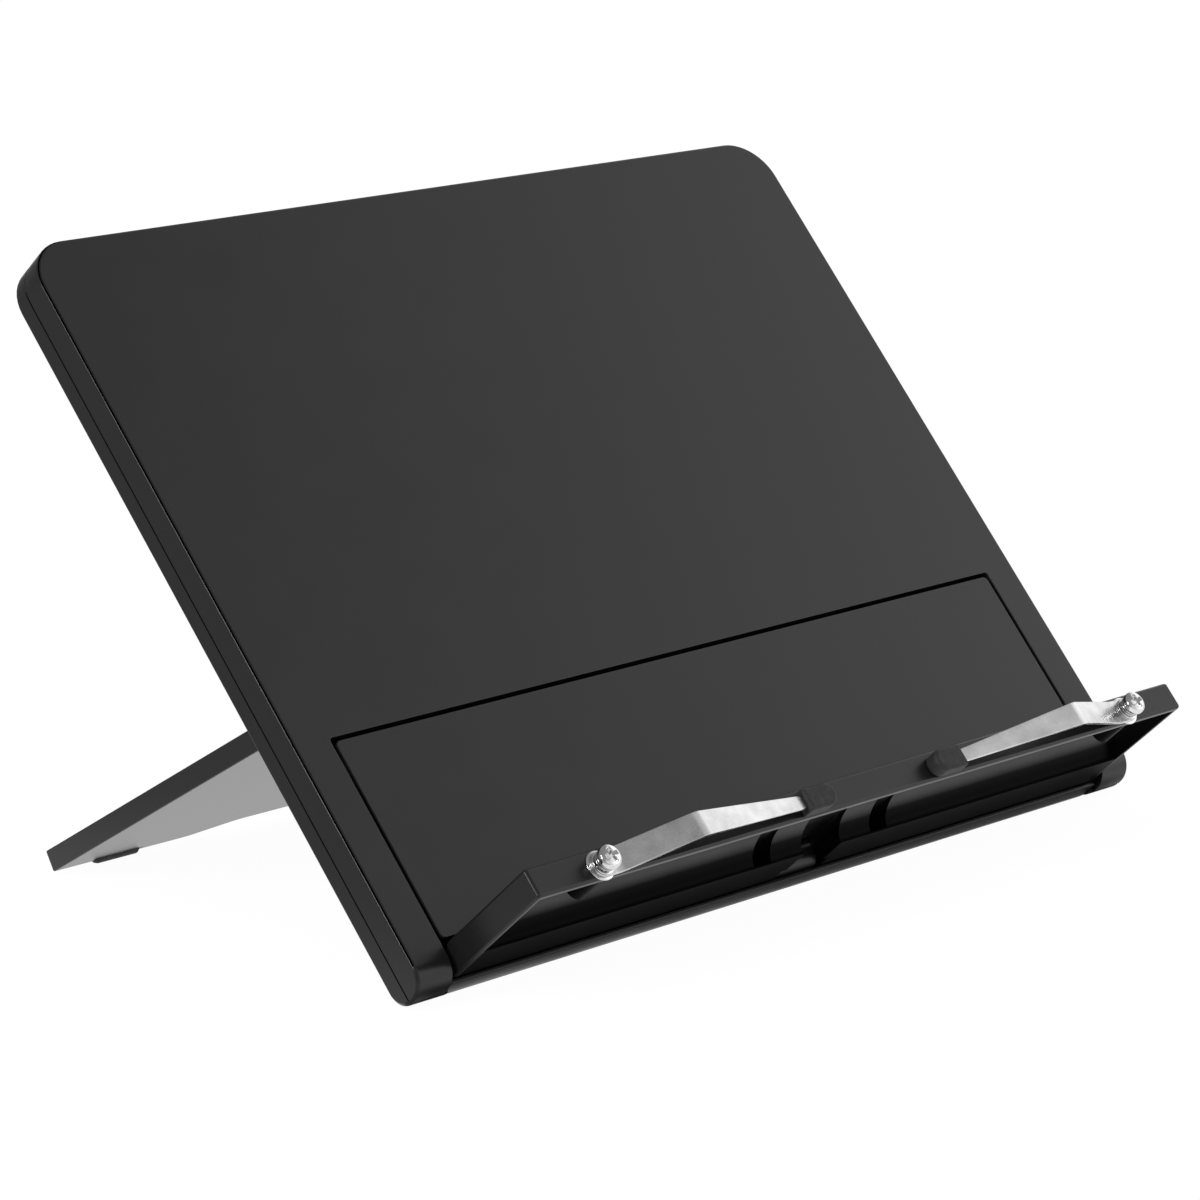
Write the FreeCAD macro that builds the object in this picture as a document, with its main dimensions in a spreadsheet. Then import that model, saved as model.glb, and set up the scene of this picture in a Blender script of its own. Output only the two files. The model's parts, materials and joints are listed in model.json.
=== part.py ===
"""A folding book stand, as a parametric assembly of separate pieces, in millimetres.

The reading board is laid out flat first: x runs across it, y runs up its slope from the bottom
edge, and z points out of its front face. At the end every piece is turned with the board's tilt
and stood on the floor, with +Z up and the front of the stand towards -Y. The page ledge, the
floor panel that sinks when the ledge folds in, the two sprung page arms and the rear leg are
bodies of their own.
"""
import FreeCAD, Part
import math
import os
import re
import Sketcher

doc = FreeCAD.newDocument("book_stand")
sheet = doc.addObject("Spreadsheet::Sheet", "Sizes")
V = FreeCAD.Vector
ACROSS = V(1, 0, 0)

SIZES = {
    # reading board
    "board_width": 280,
    "board_height": 225,
    "board_thickness": 13.5,
    "front_depth": 7.6,
    "corner_radius": 13.3,
    "side_wall": 1.8,
    "face_wall": 2.0,
    "back_wall": 1.5,
    "rib": 1.2,
    "rib_height": 2.8,
    "face_edge": 0.7,
    "back_edge": 1.0,
    "nose_round": 5.6,
    "lip_round": 2.2,
    "board_tilt": 48,
    # window in the board for the folded ledge, and its floor panel
    "window_side": 11.85,
    "window_top": 70.6,
    "frame_wall": 1.6,
    "well_floor": 1.3,
    "panel_gap": 1.2,
    "panel_bottom": 11.4,
    "panel_thickness": 1.1,
    "panel_corner": 1.6,
    "panel_clearance": 0.4,
    # hinge of the ledge
    "hinge_height": 6.75,
    "hinge_depth": 6.75,
    "rod_radius": 1.5,
    "running_gap": 0.05,
    "rod_inset": 4,
    "barrel_radius": 3.9,
    "knuckle_radius": 4.3,
    "knuckle_width": 17.6,
    "knuckle_gap": 0.5,
    "lip_inset": 1.0,
    "lip_wall": 1.2,
    "lip_top": 5.0,
    # page ledge
    "ledge_side_gap": 1.85,
    "ledge_out": 36.8,
    "ledge_face": 10.3,
    "ledge_rim": 2.1,
    "ledge_wall": 1.8,
    "ledge_band": 2.0,
    "ledge_end_wall": 1.5,
    "ledge_base": 8.5,
    "ledge_foot": 4.3,
    "ledge_edge": 0.6,
    "slot_place": 22.95,
    "slot_width": 6.1,
    "slot_depth": 5.0,
    "slot_lift": 0.8,
    "notch_width": 14.3,
    "notch_start": 0.3,
    "notch_end": 12.0,
    "notch_skin": 1.1,
    # page arms and their pivots on the ledge
    "pivot_inset": 23,
    "pivot_height": 5.5,
    "screw_radius": 1.25,
    "screw_head_radius": 3.6,
    "screw_head_height": 2.1,
    "screw_head_lift": 4.0,
    "screw_grip": 8.5,
    "cross_width": 1.1,
    "cross_length": 4.2,
    "cross_depth": 1.2,
    "post_radius": 3.2,
    "post_height": 9.5,
    "ring_radius": 4.6,
    "ring_thickness": 0.4,
    "stack_gap": 0.05,
    "arm_thickness": 0.9,
    "arm_width": 7.0,
    "arm_tip_width": 3.7,
    "arm_end_radius": 3.4,
    "arm_flat": 4.6,
    "arm_bend": 28.8,
    "arm_rise": 8.5,
    "arm_length": 72.3,
    "arm_tip_rise": 1.75,
    "arm_tail": 6.0,
    "washer_radius": 3.3,
    "washer_thickness": 0.4,
    "spring_wire": 0.4,
    "spring_radius": 2.5,
    "spring_turns": 2,
    "shoe_length": 11.0,
    "shoe_width": 6.4,
    "shoe_height": 4.4,
    "shoe_lift": 0.3,
    "shoe_round": 3.1,
    "shoe_crown": 0.7,
    # rear leg
    "leg_inset": 12.5,
    "leg_thickness": 6.1,
    "leg_length": 115.3,
    "leg_round": 3.0,
    "leg_arch_rise": 5.5,
    "leg_foot_span": 47.5,
    "leg_sweep": 14,
    "leg_skin": 2.0,
    "leg_rim": 2.4,
    "leg_hub": 6.5,
    "leg_angle": 78.6667,
    "leg_hinge_height": 82.6,
    "leg_hinge_depth": 10.4,
    "leg_side_gap": 0.7,
    "leg_face_gap": 0.4,
    "recess_bottom": 77.0,
    "recess_end_gap": 2.6,
    "recess_wall": 1.4,
    "recess_floor": 1.25,
    "bearing_length": 7.4,
    "bearing_cap": 0.6,
    "bearing_height": 11.2,
    "thrust_washer": 0.5,
    "thrust_radius": 2.8,
    # rubber feet
    "foot_radius": 2.4,
    "foot_length": 15.6,
    "foot_inset": 34.2,
    "foot_chamfer": 0.9,
    "front_foot_height": 4.2,
    "front_foot_depth": 12.9,
    "leg_foot_end": 0.5,
    "leg_foot_face": 1.61,
    "foot_flat": 0.25,
    # screws that close the case
    "case_screw_radius": 1.2,
    "case_head_radius": 2.7,
    "case_head_depth": 1.6,
    "case_cross_width": 0.9,
    "case_cross_length": 3.4,
    "case_screw_length": 9.0,
    "case_post_radius": 3.4,
    "case_screw_inset": 6,
    "case_screw_low": 42,
    "case_screw_high": 150,
    "case_screw_down": 17,
    # leaf springs under the floor panel
    "leaf_length": 52,
    "leaf_width": 9,
    "leaf_thickness": 0.4,
    "leaf_place": 62,
    "leaf_height": 40,
}

FOLLOWING = {
    "window_width": "board_width - 2 * window_side",
    "ledge_width": "window_width - 2 * ledge_side_gap",
    "pivot_place": "ledge_width / 2 - pivot_inset",
    "rod_length": "board_width - 2 * rod_inset",
    "leg_width": "board_width - 2 * leg_inset",
    "leg_foot_inner": "leg_width - 2 * leg_foot_span",
    "leg_arch_width": "leg_foot_inner - 2 * leg_sweep",
    "leg_opening": "leg_width + 2 * leg_side_gap",
    "leg_rod_length": "leg_opening + 2 * (bearing_length - bearing_cap)",
    "foot_place": "board_width / 2 - foot_inset",
    "case_screw_side": "board_width / 2 - case_screw_inset",
    "case_screw_top": "board_height - case_screw_down",
}
NAME = r"[a-z][a-z_]+"


def fill_sheet():
    """Writes each driving size as a plain number, with its name as the alias."""
    for row, (name, value) in enumerate(SIZES.items(), start=1):
        sheet.set(f"A{row}", name)
        sheet.set(f"B{row}", str(value))
        sheet.setAlias(f"B{row}", name)
    doc.recompute()


def spelled(text):
    """A formula in which each size that follows others is written out."""

    def written_out(name):
        word = name.group(0)
        return f"({spelled(FOLLOWING[word])})" if word in FOLLOWING else word

    return re.sub(NAME, written_out, str(text))


def size(formula):
    """The number that a formula of sizes comes to."""
    numbers = re.sub(NAME, lambda name: str(sheet.get(name.group(0))), spelled(formula))
    return FreeCAD.Units.Quantity(numbers).Value


def bound(text):
    """Turns names of sizes in a formula into references to the sheet."""
    return re.sub(NAME, lambda name: "Sizes." + name.group(0), spelled(text))


def new_body(label):
    body = doc.addObject("PartDesign::Body", label)
    body.Label = label
    return body


def new_sketch(body, name, role, lift="0"):
    plane = [item for item in body.Origin.OriginFeatures if item.Role == role][0]
    sketch = body.newObject("Sketcher::SketchObject", name)
    sketch.AttachmentSupport = (plane, [""])
    sketch.MapMode = "FlatFace"
    sketch.setExpression("AttachmentOffset.Base.z", bound(lift))
    return sketch


def tie(sketch, geometry, place, across, up):
    """Holds one point of a sketch at a place given by two formulas."""
    point = sketch.getPoint(geometry, place)
    for kind, start, formula in (("DistanceX", point.x, across), ("DistanceY", point.y, up)):
        index = sketch.addConstraint(Sketcher.Constraint(kind, -1, 1, geometry, place, start))
        sketch.setExpression(f"Constraints[{index}]", bound(formula))


def draw_polygon(sketch, corners):
    """Draws a closed outline of straight lines, each corner held by its two formulas."""
    first = sketch.GeometryCount
    count = len(corners)
    turn = 2 * math.pi / count
    ring = [V(math.cos(turn * i), math.sin(turn * i), 0) for i in range(count)]
    for i in range(count):
        sketch.addGeometry(Part.LineSegment(ring[i], ring[(i + 1) % count]), False)
    for i in range(count):
        following = first + (i + 1) % count
        sketch.addConstraint(Sketcher.Constraint("Coincident", first + i, 2, following, 1))
    for i, (across, up) in enumerate(corners):
        tie(sketch, first + i, 1, across, up)


def draw_circle(sketch, across, up, radius):
    circle = sketch.addGeometry(Part.Circle(V(1, 1, 0), V(0, 0, 1), 1), False)
    index = sketch.addConstraint(Sketcher.Constraint("Radius", circle, 1.0))
    sketch.setExpression(f"Constraints[{index}]", bound(radius))
    tie(sketch, circle, 3, across, up)


def rectangle(left, bottom, right, top):
    return [(left, bottom), (right, bottom), (right, top), (left, top)]


def centred(width, bottom, top):
    return rectangle(f"-({width}) / 2", bottom, f"({width}) / 2", top)


def extrude(body, kind, name, sketch, length, symmetric):
    feature = body.newObject(f"PartDesign::{kind}", name)
    feature.Profile = sketch
    feature.setExpression("Length", bound(length))
    if symmetric:
        feature.SideType = "Symmetric"
    doc.recompute()
    return feature


def draw(sketch, outlines):
    """Draws polygons (lists of corners) and circles (tuples of x, y and radius)."""
    for outline in outlines:
        if isinstance(outline, tuple):
            draw_circle(sketch, *outline)
        else:
            draw_polygon(sketch, outline)


def slab(body, name, outlines, low, high):
    """Adds material between two heights over the board, inside the outlines."""
    sketch = new_sketch(body, f"{name}_outline", "XY_Plane", low)
    draw(sketch, outlines)
    return extrude(body, "Pad", name, sketch, f"({high}) - ({low})", False)


def sink(body, name, outlines, low, high):
    """Removes material between two heights over the board, inside the outlines."""
    sketch = new_sketch(body, f"{name}_outline", "XY_Plane", high)
    draw(sketch, outlines)
    before = body.Shape.Volume
    cut = extrude(body, "Pocket", name, sketch, f"({high}) - ({low})", False)
    if not cut.Shape.Volume < before:
        raise RuntimeError(f"{name} removes nothing")
    return cut


def rail(body, name, outlines, length, plane="YZ_Plane"):
    """Adds a section that runs symmetrically across the board."""
    sketch = new_sketch(body, f"{name}_section", plane)
    draw(sketch, outlines)
    return extrude(body, "Pad", name, sketch, length, True)


def channel(body, name, outlines, length, plane="YZ_Plane"):
    """Removes a section that runs symmetrically across the board."""
    sketch = new_sketch(body, f"{name}_section", plane)
    draw(sketch, outlines)
    before = body.Shape.Volume
    cut = extrude(body, "Pocket", name, sketch, length, True)
    if not cut.Shape.Volume < before:
        raise RuntimeError(f"{name} removes nothing")
    return cut


def matching_edges(shape, wanted):
    """Names of the edges whose middle and direction pass a test."""
    names = []
    for number, edge in enumerate(shape.Edges, start=1):
        if len(edge.Vertexes) < 2:
            ends = V(0, 0, 0)
            middle = edge.CenterOfGravity
        else:
            ends = edge.Vertexes[1].Point - edge.Vertexes[0].Point
            middle = edge.valueAt((edge.FirstParameter + edge.LastParameter) / 2)
        if wanted(middle, ends.normalize() if ends.Length else ends):
            names.append(f"Edge{number}")
    return names


def soften(body, name, radius, wanted, kind="Fillet"):
    """Rounds or chamfers the edges of the body's last feature that pass a test."""
    base = body.Tip
    names = matching_edges(base.Shape, wanted)
    if not names:
        raise RuntimeError(f"{name} found no edge")
    feature = body.newObject(f"PartDesign::{kind}", name)
    feature.Base = (base, names)
    feature.setExpression("Radius" if kind == "Fillet" else "Size", bound(radius))
    doc.recompute()
    return feature


def near(value, target, reach=0.01):
    return abs(value - target) < reach


def upright(direction):
    return abs(direction.z) > 0.99


def sideways(direction):
    return abs(direction.x) > 0.99


def half_pairs(inner, outer, bottom, top):
    """One rectangle on each side of the middle line."""
    return [rectangle(inner, bottom, outer, top), rectangle(f"-({outer})", bottom, f"-({inner})", top)]


def round_top_corners(body, name, across, height, radius):
    """Rounds the two upper corners of an outline."""

    def at_corner(middle, direction):
        return upright(direction) and near(abs(middle.x), across) and near(middle.y, height)

    return soften(body, name, radius, at_corner)


CASE_SCREWS = [
    ("case_screw_side", "case_screw_low"),
    ("case_screw_side", "case_screw_high"),
    ("case_screw_side", "case_screw_top"),
]
CASE_PLACES = [(f"{sign}{x}", y) for x, y in CASE_SCREWS for sign in ("", "-")]


def case_circles(radius):
    return [(x, y, radius) for x, y in CASE_PLACES]


def make_front_shell():
    """The reading board's front moulding, with its window, cavity, ribs and screw posts."""
    body = new_body("front_shell")
    half = size("board_width") / 2
    slab(body, "front_plate", [centred("board_width", "0", "board_height")], "-front_depth", "0")
    inside = "board_width - 2 * side_wall"
    cavity_top = "board_height - side_wall"
    cavity = centred(inside, "window_top + frame_wall", cavity_top)
    sink(body, "front_cavity", [cavity], "-front_depth", "-face_wall")
    inner_radius = "corner_radius - side_wall"
    inner_half = half - size("side_wall")
    round_top_corners(body, "cavity_corners", inner_half, size("board_height") - size("side_wall"), inner_radius)
    round_top_corners(body, "front_corners", half, size("board_height"), "corner_radius")
    window = centred("window_width", "-1", "window_top")
    sink(body, "front_window", [window], "-front_depth", "0")
    core = half_pairs("window_width / 2 + frame_wall", "board_width / 2 - side_wall",
                      "2 * hinge_height", "window_top")
    sink(body, "side_cores", core, "-front_depth", "-face_wall")
    rows = [rectangle("-board_width / 2 + side_wall", y, "board_width / 2 - side_wall", f"{y} + rib")
            for y in ("window_top + board_height / 6", "window_top + board_height / 3",
                      "window_top + board_height / 2")]
    columns = [rectangle(f"{x} - rib / 2", "window_top + frame_wall", f"{x} + rib / 2", cavity_top)
               for x in ("-board_width / 4", "0", "board_width / 4")]
    for number, row in enumerate(rows + columns, start=1):
        slab(body, f"front_rib_{number}", [row], "-face_wall - rib_height", "-face_wall")
    slab(body, "screw_posts", case_circles("case_post_radius"), "-front_depth", "-face_wall")
    sink(body, "screw_holes", case_circles("case_screw_radius"), "-front_depth", "-face_wall")
    channel(body, "rod_seat", [("hinge_height", "-hinge_depth", "rod_radius")], "rod_length")
    soften(body, "front_nose", "hinge_height",
           lambda middle, direction: sideways(direction) and near(middle.y, 0) and near(middle.z, 0))
    soften(body, "front_edge", "face_edge", on_front_outline, "Chamfer")
    return body


def on_front_outline(middle, direction):
    """The outer edge of the front face, along the sides, the top and the corner arcs."""
    across = size("board_width") / 2
    outer = near(abs(middle.x), across) or near(middle.y, size("board_height"))
    in_arc = abs(middle.x) > across - size("corner_radius") and middle.y > size("board_height") - size("corner_radius")
    return near(middle.z, 0) and (outer or in_arc) and abs(direction.z) < 0.01


def make_back_shell():
    """The back moulding, with the leg's recess, the ledge's well, bearings, knuckle and lip."""
    body = new_body("back_shell")
    half = size("board_width") / 2
    back = "-board_thickness"
    slab(body, "back_plate", [centred("board_width", "0", "board_height")], back, "-front_depth")
    cavity_top = "board_height - side_wall"
    cavity = centred("board_width - 2 * side_wall", "window_top + frame_wall", cavity_top)
    sink(body, "back_cavity", [cavity], f"{back} + back_wall", "-front_depth")
    inner_half = half - size("side_wall")
    round_top_corners(body, "back_cavity_corners", inner_half, size("board_height") - size("side_wall"),
                      "corner_radius - side_wall")
    round_top_corners(body, "back_corners", half, size("board_height"), "corner_radius")
    soften(body, "back_nose", "nose_round",
           lambda middle, direction: sideways(direction) and near(middle.y, 0)
           and near(middle.z, -size("board_thickness")))
    lip_block = centred("ledge_width + panel_gap", "lip_inset", "2 * nose_round")
    slab(body, "lip_block", [lip_block], back, "-front_depth")
    lip_step = centred("ledge_width + panel_gap", "-1", "lip_inset")
    sink(body, "lip_step", [lip_step], back, "-front_depth")
    soften(body, "lip_edge", "lip_round",
           lambda middle, direction: sideways(direction) and near(middle.y, size("lip_inset"))
           and near(middle.z, -size("board_thickness")))
    well = centred("window_width", "lip_inset + lip_wall", "window_top")
    sink(body, "ledge_well", [well], f"{back} + well_floor", "-front_depth")
    core = half_pairs("window_width / 2 + frame_wall", "board_width / 2 - side_wall",
                      "2 * hinge_height", "window_top")
    sink(body, "back_side_cores", core, f"{back} + back_wall", "-front_depth")
    leg_top = "leg_hinge_height + leg_length + recess_end_gap"
    opening = "leg_opening"
    floor = "-leg_hinge_depth + leg_thickness / 2 + leg_face_gap"
    tub = centred(f"{opening} + 2 * recess_wall", "recess_bottom - recess_wall", f"{leg_top} + recess_wall")
    slab(body, "leg_tub", [tub], f"{back} + back_wall / 2", f"{floor} + recess_floor")
    bearings = half_pairs(f"({opening}) / 2", f"({opening}) / 2 + bearing_length",
                          "leg_hinge_height - bearing_height / 2", "leg_hinge_height + bearing_height / 2")
    slab(body, "leg_bearings", bearings, f"{back} + back_wall / 2", f"{floor} + recess_floor")
    sink(body, "leg_recess", [centred(opening, "recess_bottom", leg_top)], back, floor)
    channel(body, "leg_rod_seat", [("leg_hinge_height", "-leg_hinge_depth", "rod_radius")], "leg_rod_length")
    slab(body, "lip_wall_pad", [centred("ledge_width + panel_gap", "lip_inset", "lip_inset + lip_wall")],
         "-front_depth", "-lip_top")
    knuckle_foot = centred("knuckle_width", "hinge_height - knuckle_radius", "hinge_height + knuckle_radius")
    slab(body, "knuckle_foot", [knuckle_foot], f"{back} + well_floor / 2", "-hinge_depth")
    rail(body, "knuckle", [("hinge_height", "-hinge_depth", "knuckle_radius")], "knuckle_width")
    channel(body, "rod_seat_back", [("hinge_height", "-hinge_depth", "rod_radius")], "rod_length")
    slab(body, "back_posts", case_circles("case_post_radius"), f"{back} + back_wall / 2", "-front_depth")
    sink(body, "back_screw_holes", case_circles("case_screw_radius"), back, "-front_depth")
    sink(body, "back_screw_heads", case_circles("case_head_radius"), back, f"{back} + case_head_depth")
    for side, sign in (("left", -1), ("right", 1)):
        cut_foot_socket(body, side, sign, "front_foot_height", "-front_foot_depth")
    soften(body, "back_rim", "back_edge", on_back_outline, "Chamfer")
    return body


def on_back_outline(middle, direction):
    across = size("board_width") / 2
    outer = near(abs(middle.x), across) or near(middle.y, size("board_height"))
    in_arc = abs(middle.x) > across - size("corner_radius") and middle.y > size("board_height") - size("corner_radius")
    return near(middle.z, -size("board_thickness")) and (outer or in_arc) and abs(direction.z) < 0.01


def cut_foot_socket(body, side, sign, along, deep):
    """A round socket that runs across, for one rubber foot centred at two formulas."""
    section = new_sketch(body, f"socket_{side}_section", "YZ_Plane",
                         f"{sign} * foot_place - foot_length / 2")
    draw_circle(section, along, deep, "foot_radius")
    before = body.Shape.Volume
    cut = body.newObject("PartDesign::Pocket", f"socket_{side}")
    cut.Profile = section
    cut.Reversed = True
    cut.setExpression("Length", bound("foot_length"))
    doc.recompute()
    if not cut.Shape.Volume < before:
        raise RuntimeError("a foot socket removes nothing")


def make_floor_panel():
    """The flush floor of the window, which sinks when the ledge folds in."""
    body = new_body("floor_panel")
    outline = centred("window_width - 2 * panel_gap", "panel_bottom", "window_top - panel_gap")
    slab(body, "panel_plate", [outline], "-panel_thickness", "0")
    soften(body, "panel_corners", "panel_corner", lambda middle, direction: upright(direction))
    return body


def make_ledge_shell():
    """The page ledge: an open-backed channel with a band, end walls, a hinge barrel and slots."""
    body = new_body("ledge_shell")
    outline = [
        ("ledge_rim", "-ledge_foot"),
        ("ledge_rim", "ledge_out"),
        ("ledge_face", "ledge_out"),
        ("ledge_face", "0"),
        ("ledge_face - ledge_wall", "-hinge_depth / 4"),
        ("ledge_face - ledge_wall", "-hinge_depth + barrel_radius / 2"),
        ("hinge_height - barrel_radius / 2", "-hinge_depth + barrel_radius / 2"),
    ]
    rail(body, "ledge_block", [outline], "ledge_width")
    rail(body, "ledge_barrel", [("hinge_height", "-hinge_depth", "barrel_radius")], "ledge_width")
    hollow = [
        ("ledge_rim - 1", "ledge_base"),
        ("ledge_face - ledge_wall", "ledge_base"),
        ("ledge_face - ledge_wall", "ledge_out - ledge_band"),
        ("ledge_rim - 1", "ledge_out - ledge_band"),
    ]
    channel(body, "ledge_hollow", [hollow], "ledge_width - 2 * ledge_end_wall")
    opening = "knuckle_width + 2 * knuckle_gap"
    below = rectangle("-hinge_height", "-board_thickness", "board_thickness", "-notch_start")
    channel(body, "knuckle_opening", [below], opening)
    above = rectangle("ledge_rim - 1", "-notch_start - 1", "ledge_face - notch_skin", "notch_end")
    channel(body, "knuckle_notch", [above], "notch_width")
    slots = half_pairs("slot_place - slot_width / 2", "slot_place + slot_width / 2",
                       "ledge_rim + slot_lift", "ledge_face - ledge_wall")
    sink(body, "base_slots", slots, "ledge_base - slot_depth", "ledge_base + 1")
    pivots = [(f"{sign}pivot_place", "pivot_height") for sign in ("", "-")]
    slab(body, "arm_posts", [(x, y, "post_radius") for x, y in pivots],
         "ledge_out - ledge_band - post_height", "ledge_out - ledge_band")
    sink(body, "arm_screw_holes", [(x, y, "screw_radius") for x, y in pivots],
         "ledge_out - screw_grip", "ledge_out")
    channel(body, "ledge_bore", [("hinge_height", "-hinge_depth", "rod_radius + running_gap")], "ledge_width")
    soften(body, "ledge_edges", "ledge_edge", on_ledge_outside, "Chamfer")
    return body


def on_ledge_outside(middle, direction):
    """The outer edges of the band and of the end walls."""
    across = size("ledge_width") / 2
    top = near(middle.z, size("ledge_out"))
    on_band = top and (sideways(direction) or near(abs(middle.x), across))
    on_end = near(abs(middle.x), across) and upright(direction) and middle.z > size("ledge_base")
    circle = abs(middle.x) > size("pivot_place") - 5 and abs(middle.x) < size("pivot_place") + 5
    return (on_band or on_end) and not (circle and not sideways(direction))


def make_leg_panel():
    """The rear leg, laid out from its hinge: y runs to the feet and -z is the outer face."""
    body = new_body("leg_panel")
    half_thick = "leg_thickness / 2"
    arch = "leg_length - leg_arch_rise"
    outline = [
        ("-leg_width / 2", f"-{half_thick}"),
        ("leg_width / 2", f"-{half_thick}"),
        ("leg_width / 2", "leg_length"),
        ("leg_foot_inner / 2", "leg_length"),
        ("leg_arch_width / 2", arch),
        ("-leg_arch_width / 2", arch),
        ("-leg_foot_inner / 2", "leg_length"),
        ("-leg_width / 2", "leg_length"),
    ]
    slab(body, "leg_plate", [outline], f"-{half_thick}", half_thick)
    inner, outer = size("leg_arch_width") / 2, size("leg_foot_inner") / 2
    soften(body, "leg_sweeps", "leg_arch_width / 9",
           lambda middle, direction: upright(direction)
           and (near(abs(middle.x), inner) or near(abs(middle.x), outer)))
    barrel = size("leg_thickness") / 2
    soften(body, "leg_barrel", "leg_round",
           lambda middle, direction: sideways(direction) and near(middle.y, -barrel))
    cells = []
    for start, stop in (("-3", "-1"), ("-1", "1"), ("1", "3")):
        left = f"{start} * (leg_width / 2 - leg_rim) / 3 + leg_rim / 2"
        right = f"{stop} * (leg_width / 2 - leg_rim) / 3 - leg_rim / 2"
        cells.append(rectangle(left, "leg_hub", right, "leg_length / 2 - leg_rim / 2"))
        cells.append(rectangle(left, "leg_length / 2 + leg_rim / 2", right, f"{arch} - 2 * leg_rim"))
    sink(body, "leg_cells", cells, f"-{half_thick} + leg_skin", half_thick)
    channel(body, "leg_bore", [("0", "0", "rod_radius + running_gap")], "leg_width")
    for side, sign in (("left", -1), ("right", 1)):
        cut_foot_socket(body, f"leg_{side}", sign, "leg_length - leg_foot_end", "-leg_foot_face")
    return body


def make_rod(label, length):
    """A straight steel hinge rod along x, centred on the origin."""
    rod = doc.addObject("Part::Cylinder", label)
    rod.Label = label
    rod.setExpression("Radius", bound("rod_radius"))
    rod.setExpression("Height", bound(length))
    return rod


def make_rubber_foot(label):
    """A rubber bead with bevelled ends, along x and centred on the origin."""
    body = new_body(label)
    rail(body, f"{label}_bead", [("0", "0", "foot_radius")], "foot_length")
    reach = size("foot_length") / 2
    soften(body, f"{label}_ends", "foot_chamfer",
           lambda middle, direction: near(abs(middle.x), reach), "Chamfer")
    return body


def make_arm_screw(label):
    """A cross-recess screw with a domed head, standing on the ledge band at the origin."""
    body = new_body(label)
    slab(body, f"{label}_shank", [("0", "0", "screw_radius")], "-screw_grip", "screw_head_lift")
    slab(body, f"{label}_head", [("0", "0", "screw_head_radius")], "screw_head_lift",
         "screw_head_lift + screw_head_height")
    top = size("screw_head_lift") + size("screw_head_height")
    soften(body, f"{label}_dome", "screw_head_height / 2",
           lambda middle, direction: near(middle.z, top), "Chamfer")
    for name, across, along in (("first", "cross_width", "cross_length"),
                                ("second", "cross_length", "cross_width")):
        bar = rectangle(f"-{across} / 2", f"-{along} / 2", f"{across} / 2", f"{along} / 2")
        sink(body, f"{label}_{name}_bar", [bar], "screw_head_lift + screw_head_height - cross_depth",
             "screw_head_lift + screw_head_height + 1")
    return body


def make_ring(label, radius, thickness, bore):
    """A flat ring standing on the origin."""
    body = new_body(label)
    slab(body, f"{label}_disc", [("0", "0", radius), ("0", "0", bore)], "0", thickness)
    return body


ARM_BOTTOM = "ring_thickness + stack_gap"


def arm_section():
    """The side view of the bent strip: flat at the pivot, up to the bend, down to the tip."""
    low = f"({ARM_BOTTOM})"
    slope = "(arm_rise - arm_tip_rise) / (arm_length - arm_bend)"
    tail = f"{low} + arm_tip_rise - arm_tail * {slope}"
    under = [
        ("-arm_end_radius", low),
        ("arm_flat", low),
        ("arm_bend", f"{low} + arm_rise"),
        ("arm_length + arm_tail", tail),
    ]
    over = [(x, f"{z} + arm_thickness") for x, z in reversed(under)]
    return under + over


def make_page_arm(label):
    """A bent and tapered steel strip with its pivot at the origin, reaching along +x."""
    body = new_body(label)
    rail(body, f"{label}_strip", [arm_section()], "arm_width", "XZ_Plane")
    sides = []
    for sign in ("", "-"):
        sides.append([
            ("arm_bend", f"{sign}arm_width / 2"),
            ("arm_length", f"{sign}arm_tip_width / 2"),
            ("arm_length + arm_tail + 1", f"{sign}arm_tip_width / 2"),
            ("arm_length + arm_tail + 1", f"{sign}arm_width"),
            ("arm_bend", f"{sign}arm_width"),
        ])
    sink(body, f"{label}_taper", sides, "-arm_rise", "3 * arm_rise")
    end = -size("arm_end_radius")
    soften(body, f"{label}_end", "arm_end_radius",
           lambda middle, direction: upright(direction) and near(middle.x, end))
    sink(body, f"{label}_bore", [("0", "0", "screw_radius + running_gap")], "-1", "2 * arm_rise")
    return body


def make_arm_tip(label):
    """The rubber shoe pushed on to the end of a page arm."""
    body = new_body(label)
    section = rectangle("arm_length", "shoe_lift", "arm_length + shoe_length", "shoe_lift + shoe_height")
    rail(body, f"{label}_block", [section], "shoe_width", "XZ_Plane")
    end = size("arm_length") + size("shoe_length")
    top = size("shoe_lift") + size("shoe_height")
    soften(body, f"{label}_nose", "shoe_round",
           lambda middle, direction: upright(direction) and near(middle.x, end))
    soften(body, f"{label}_crown", "shoe_crown", lambda middle, direction: near(middle.z, top), "Chamfer")
    channel(body, f"{label}_pocket", [arm_section()], "arm_tip_width", "XZ_Plane")
    return body


def coil_sections(radius, wire_radius, start, rise, turns, steps_per_turn=20, sides=8):
    """Eight-sided sections of a wire at even steps along a helix, each square to it."""
    sections = []
    count = turns * steps_per_turn
    for step in range(count + 1):
        angle = 2 * math.pi * step / steps_per_turn
        outward = V(math.cos(angle), math.sin(angle), 0)
        middle = outward * radius + V(0, 0, start + rise * step / count)
        along = V(-math.sin(angle), math.cos(angle), rise / (2 * math.pi * radius * turns))
        turned = [FreeCAD.Rotation(along, 360 * side / sides) for side in range(sides)]
        corners = [middle + turn.multVec(outward * wire_radius) for turn in turned]
        sections.append(Part.makePolygon(corners, True))
    return sections


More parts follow.
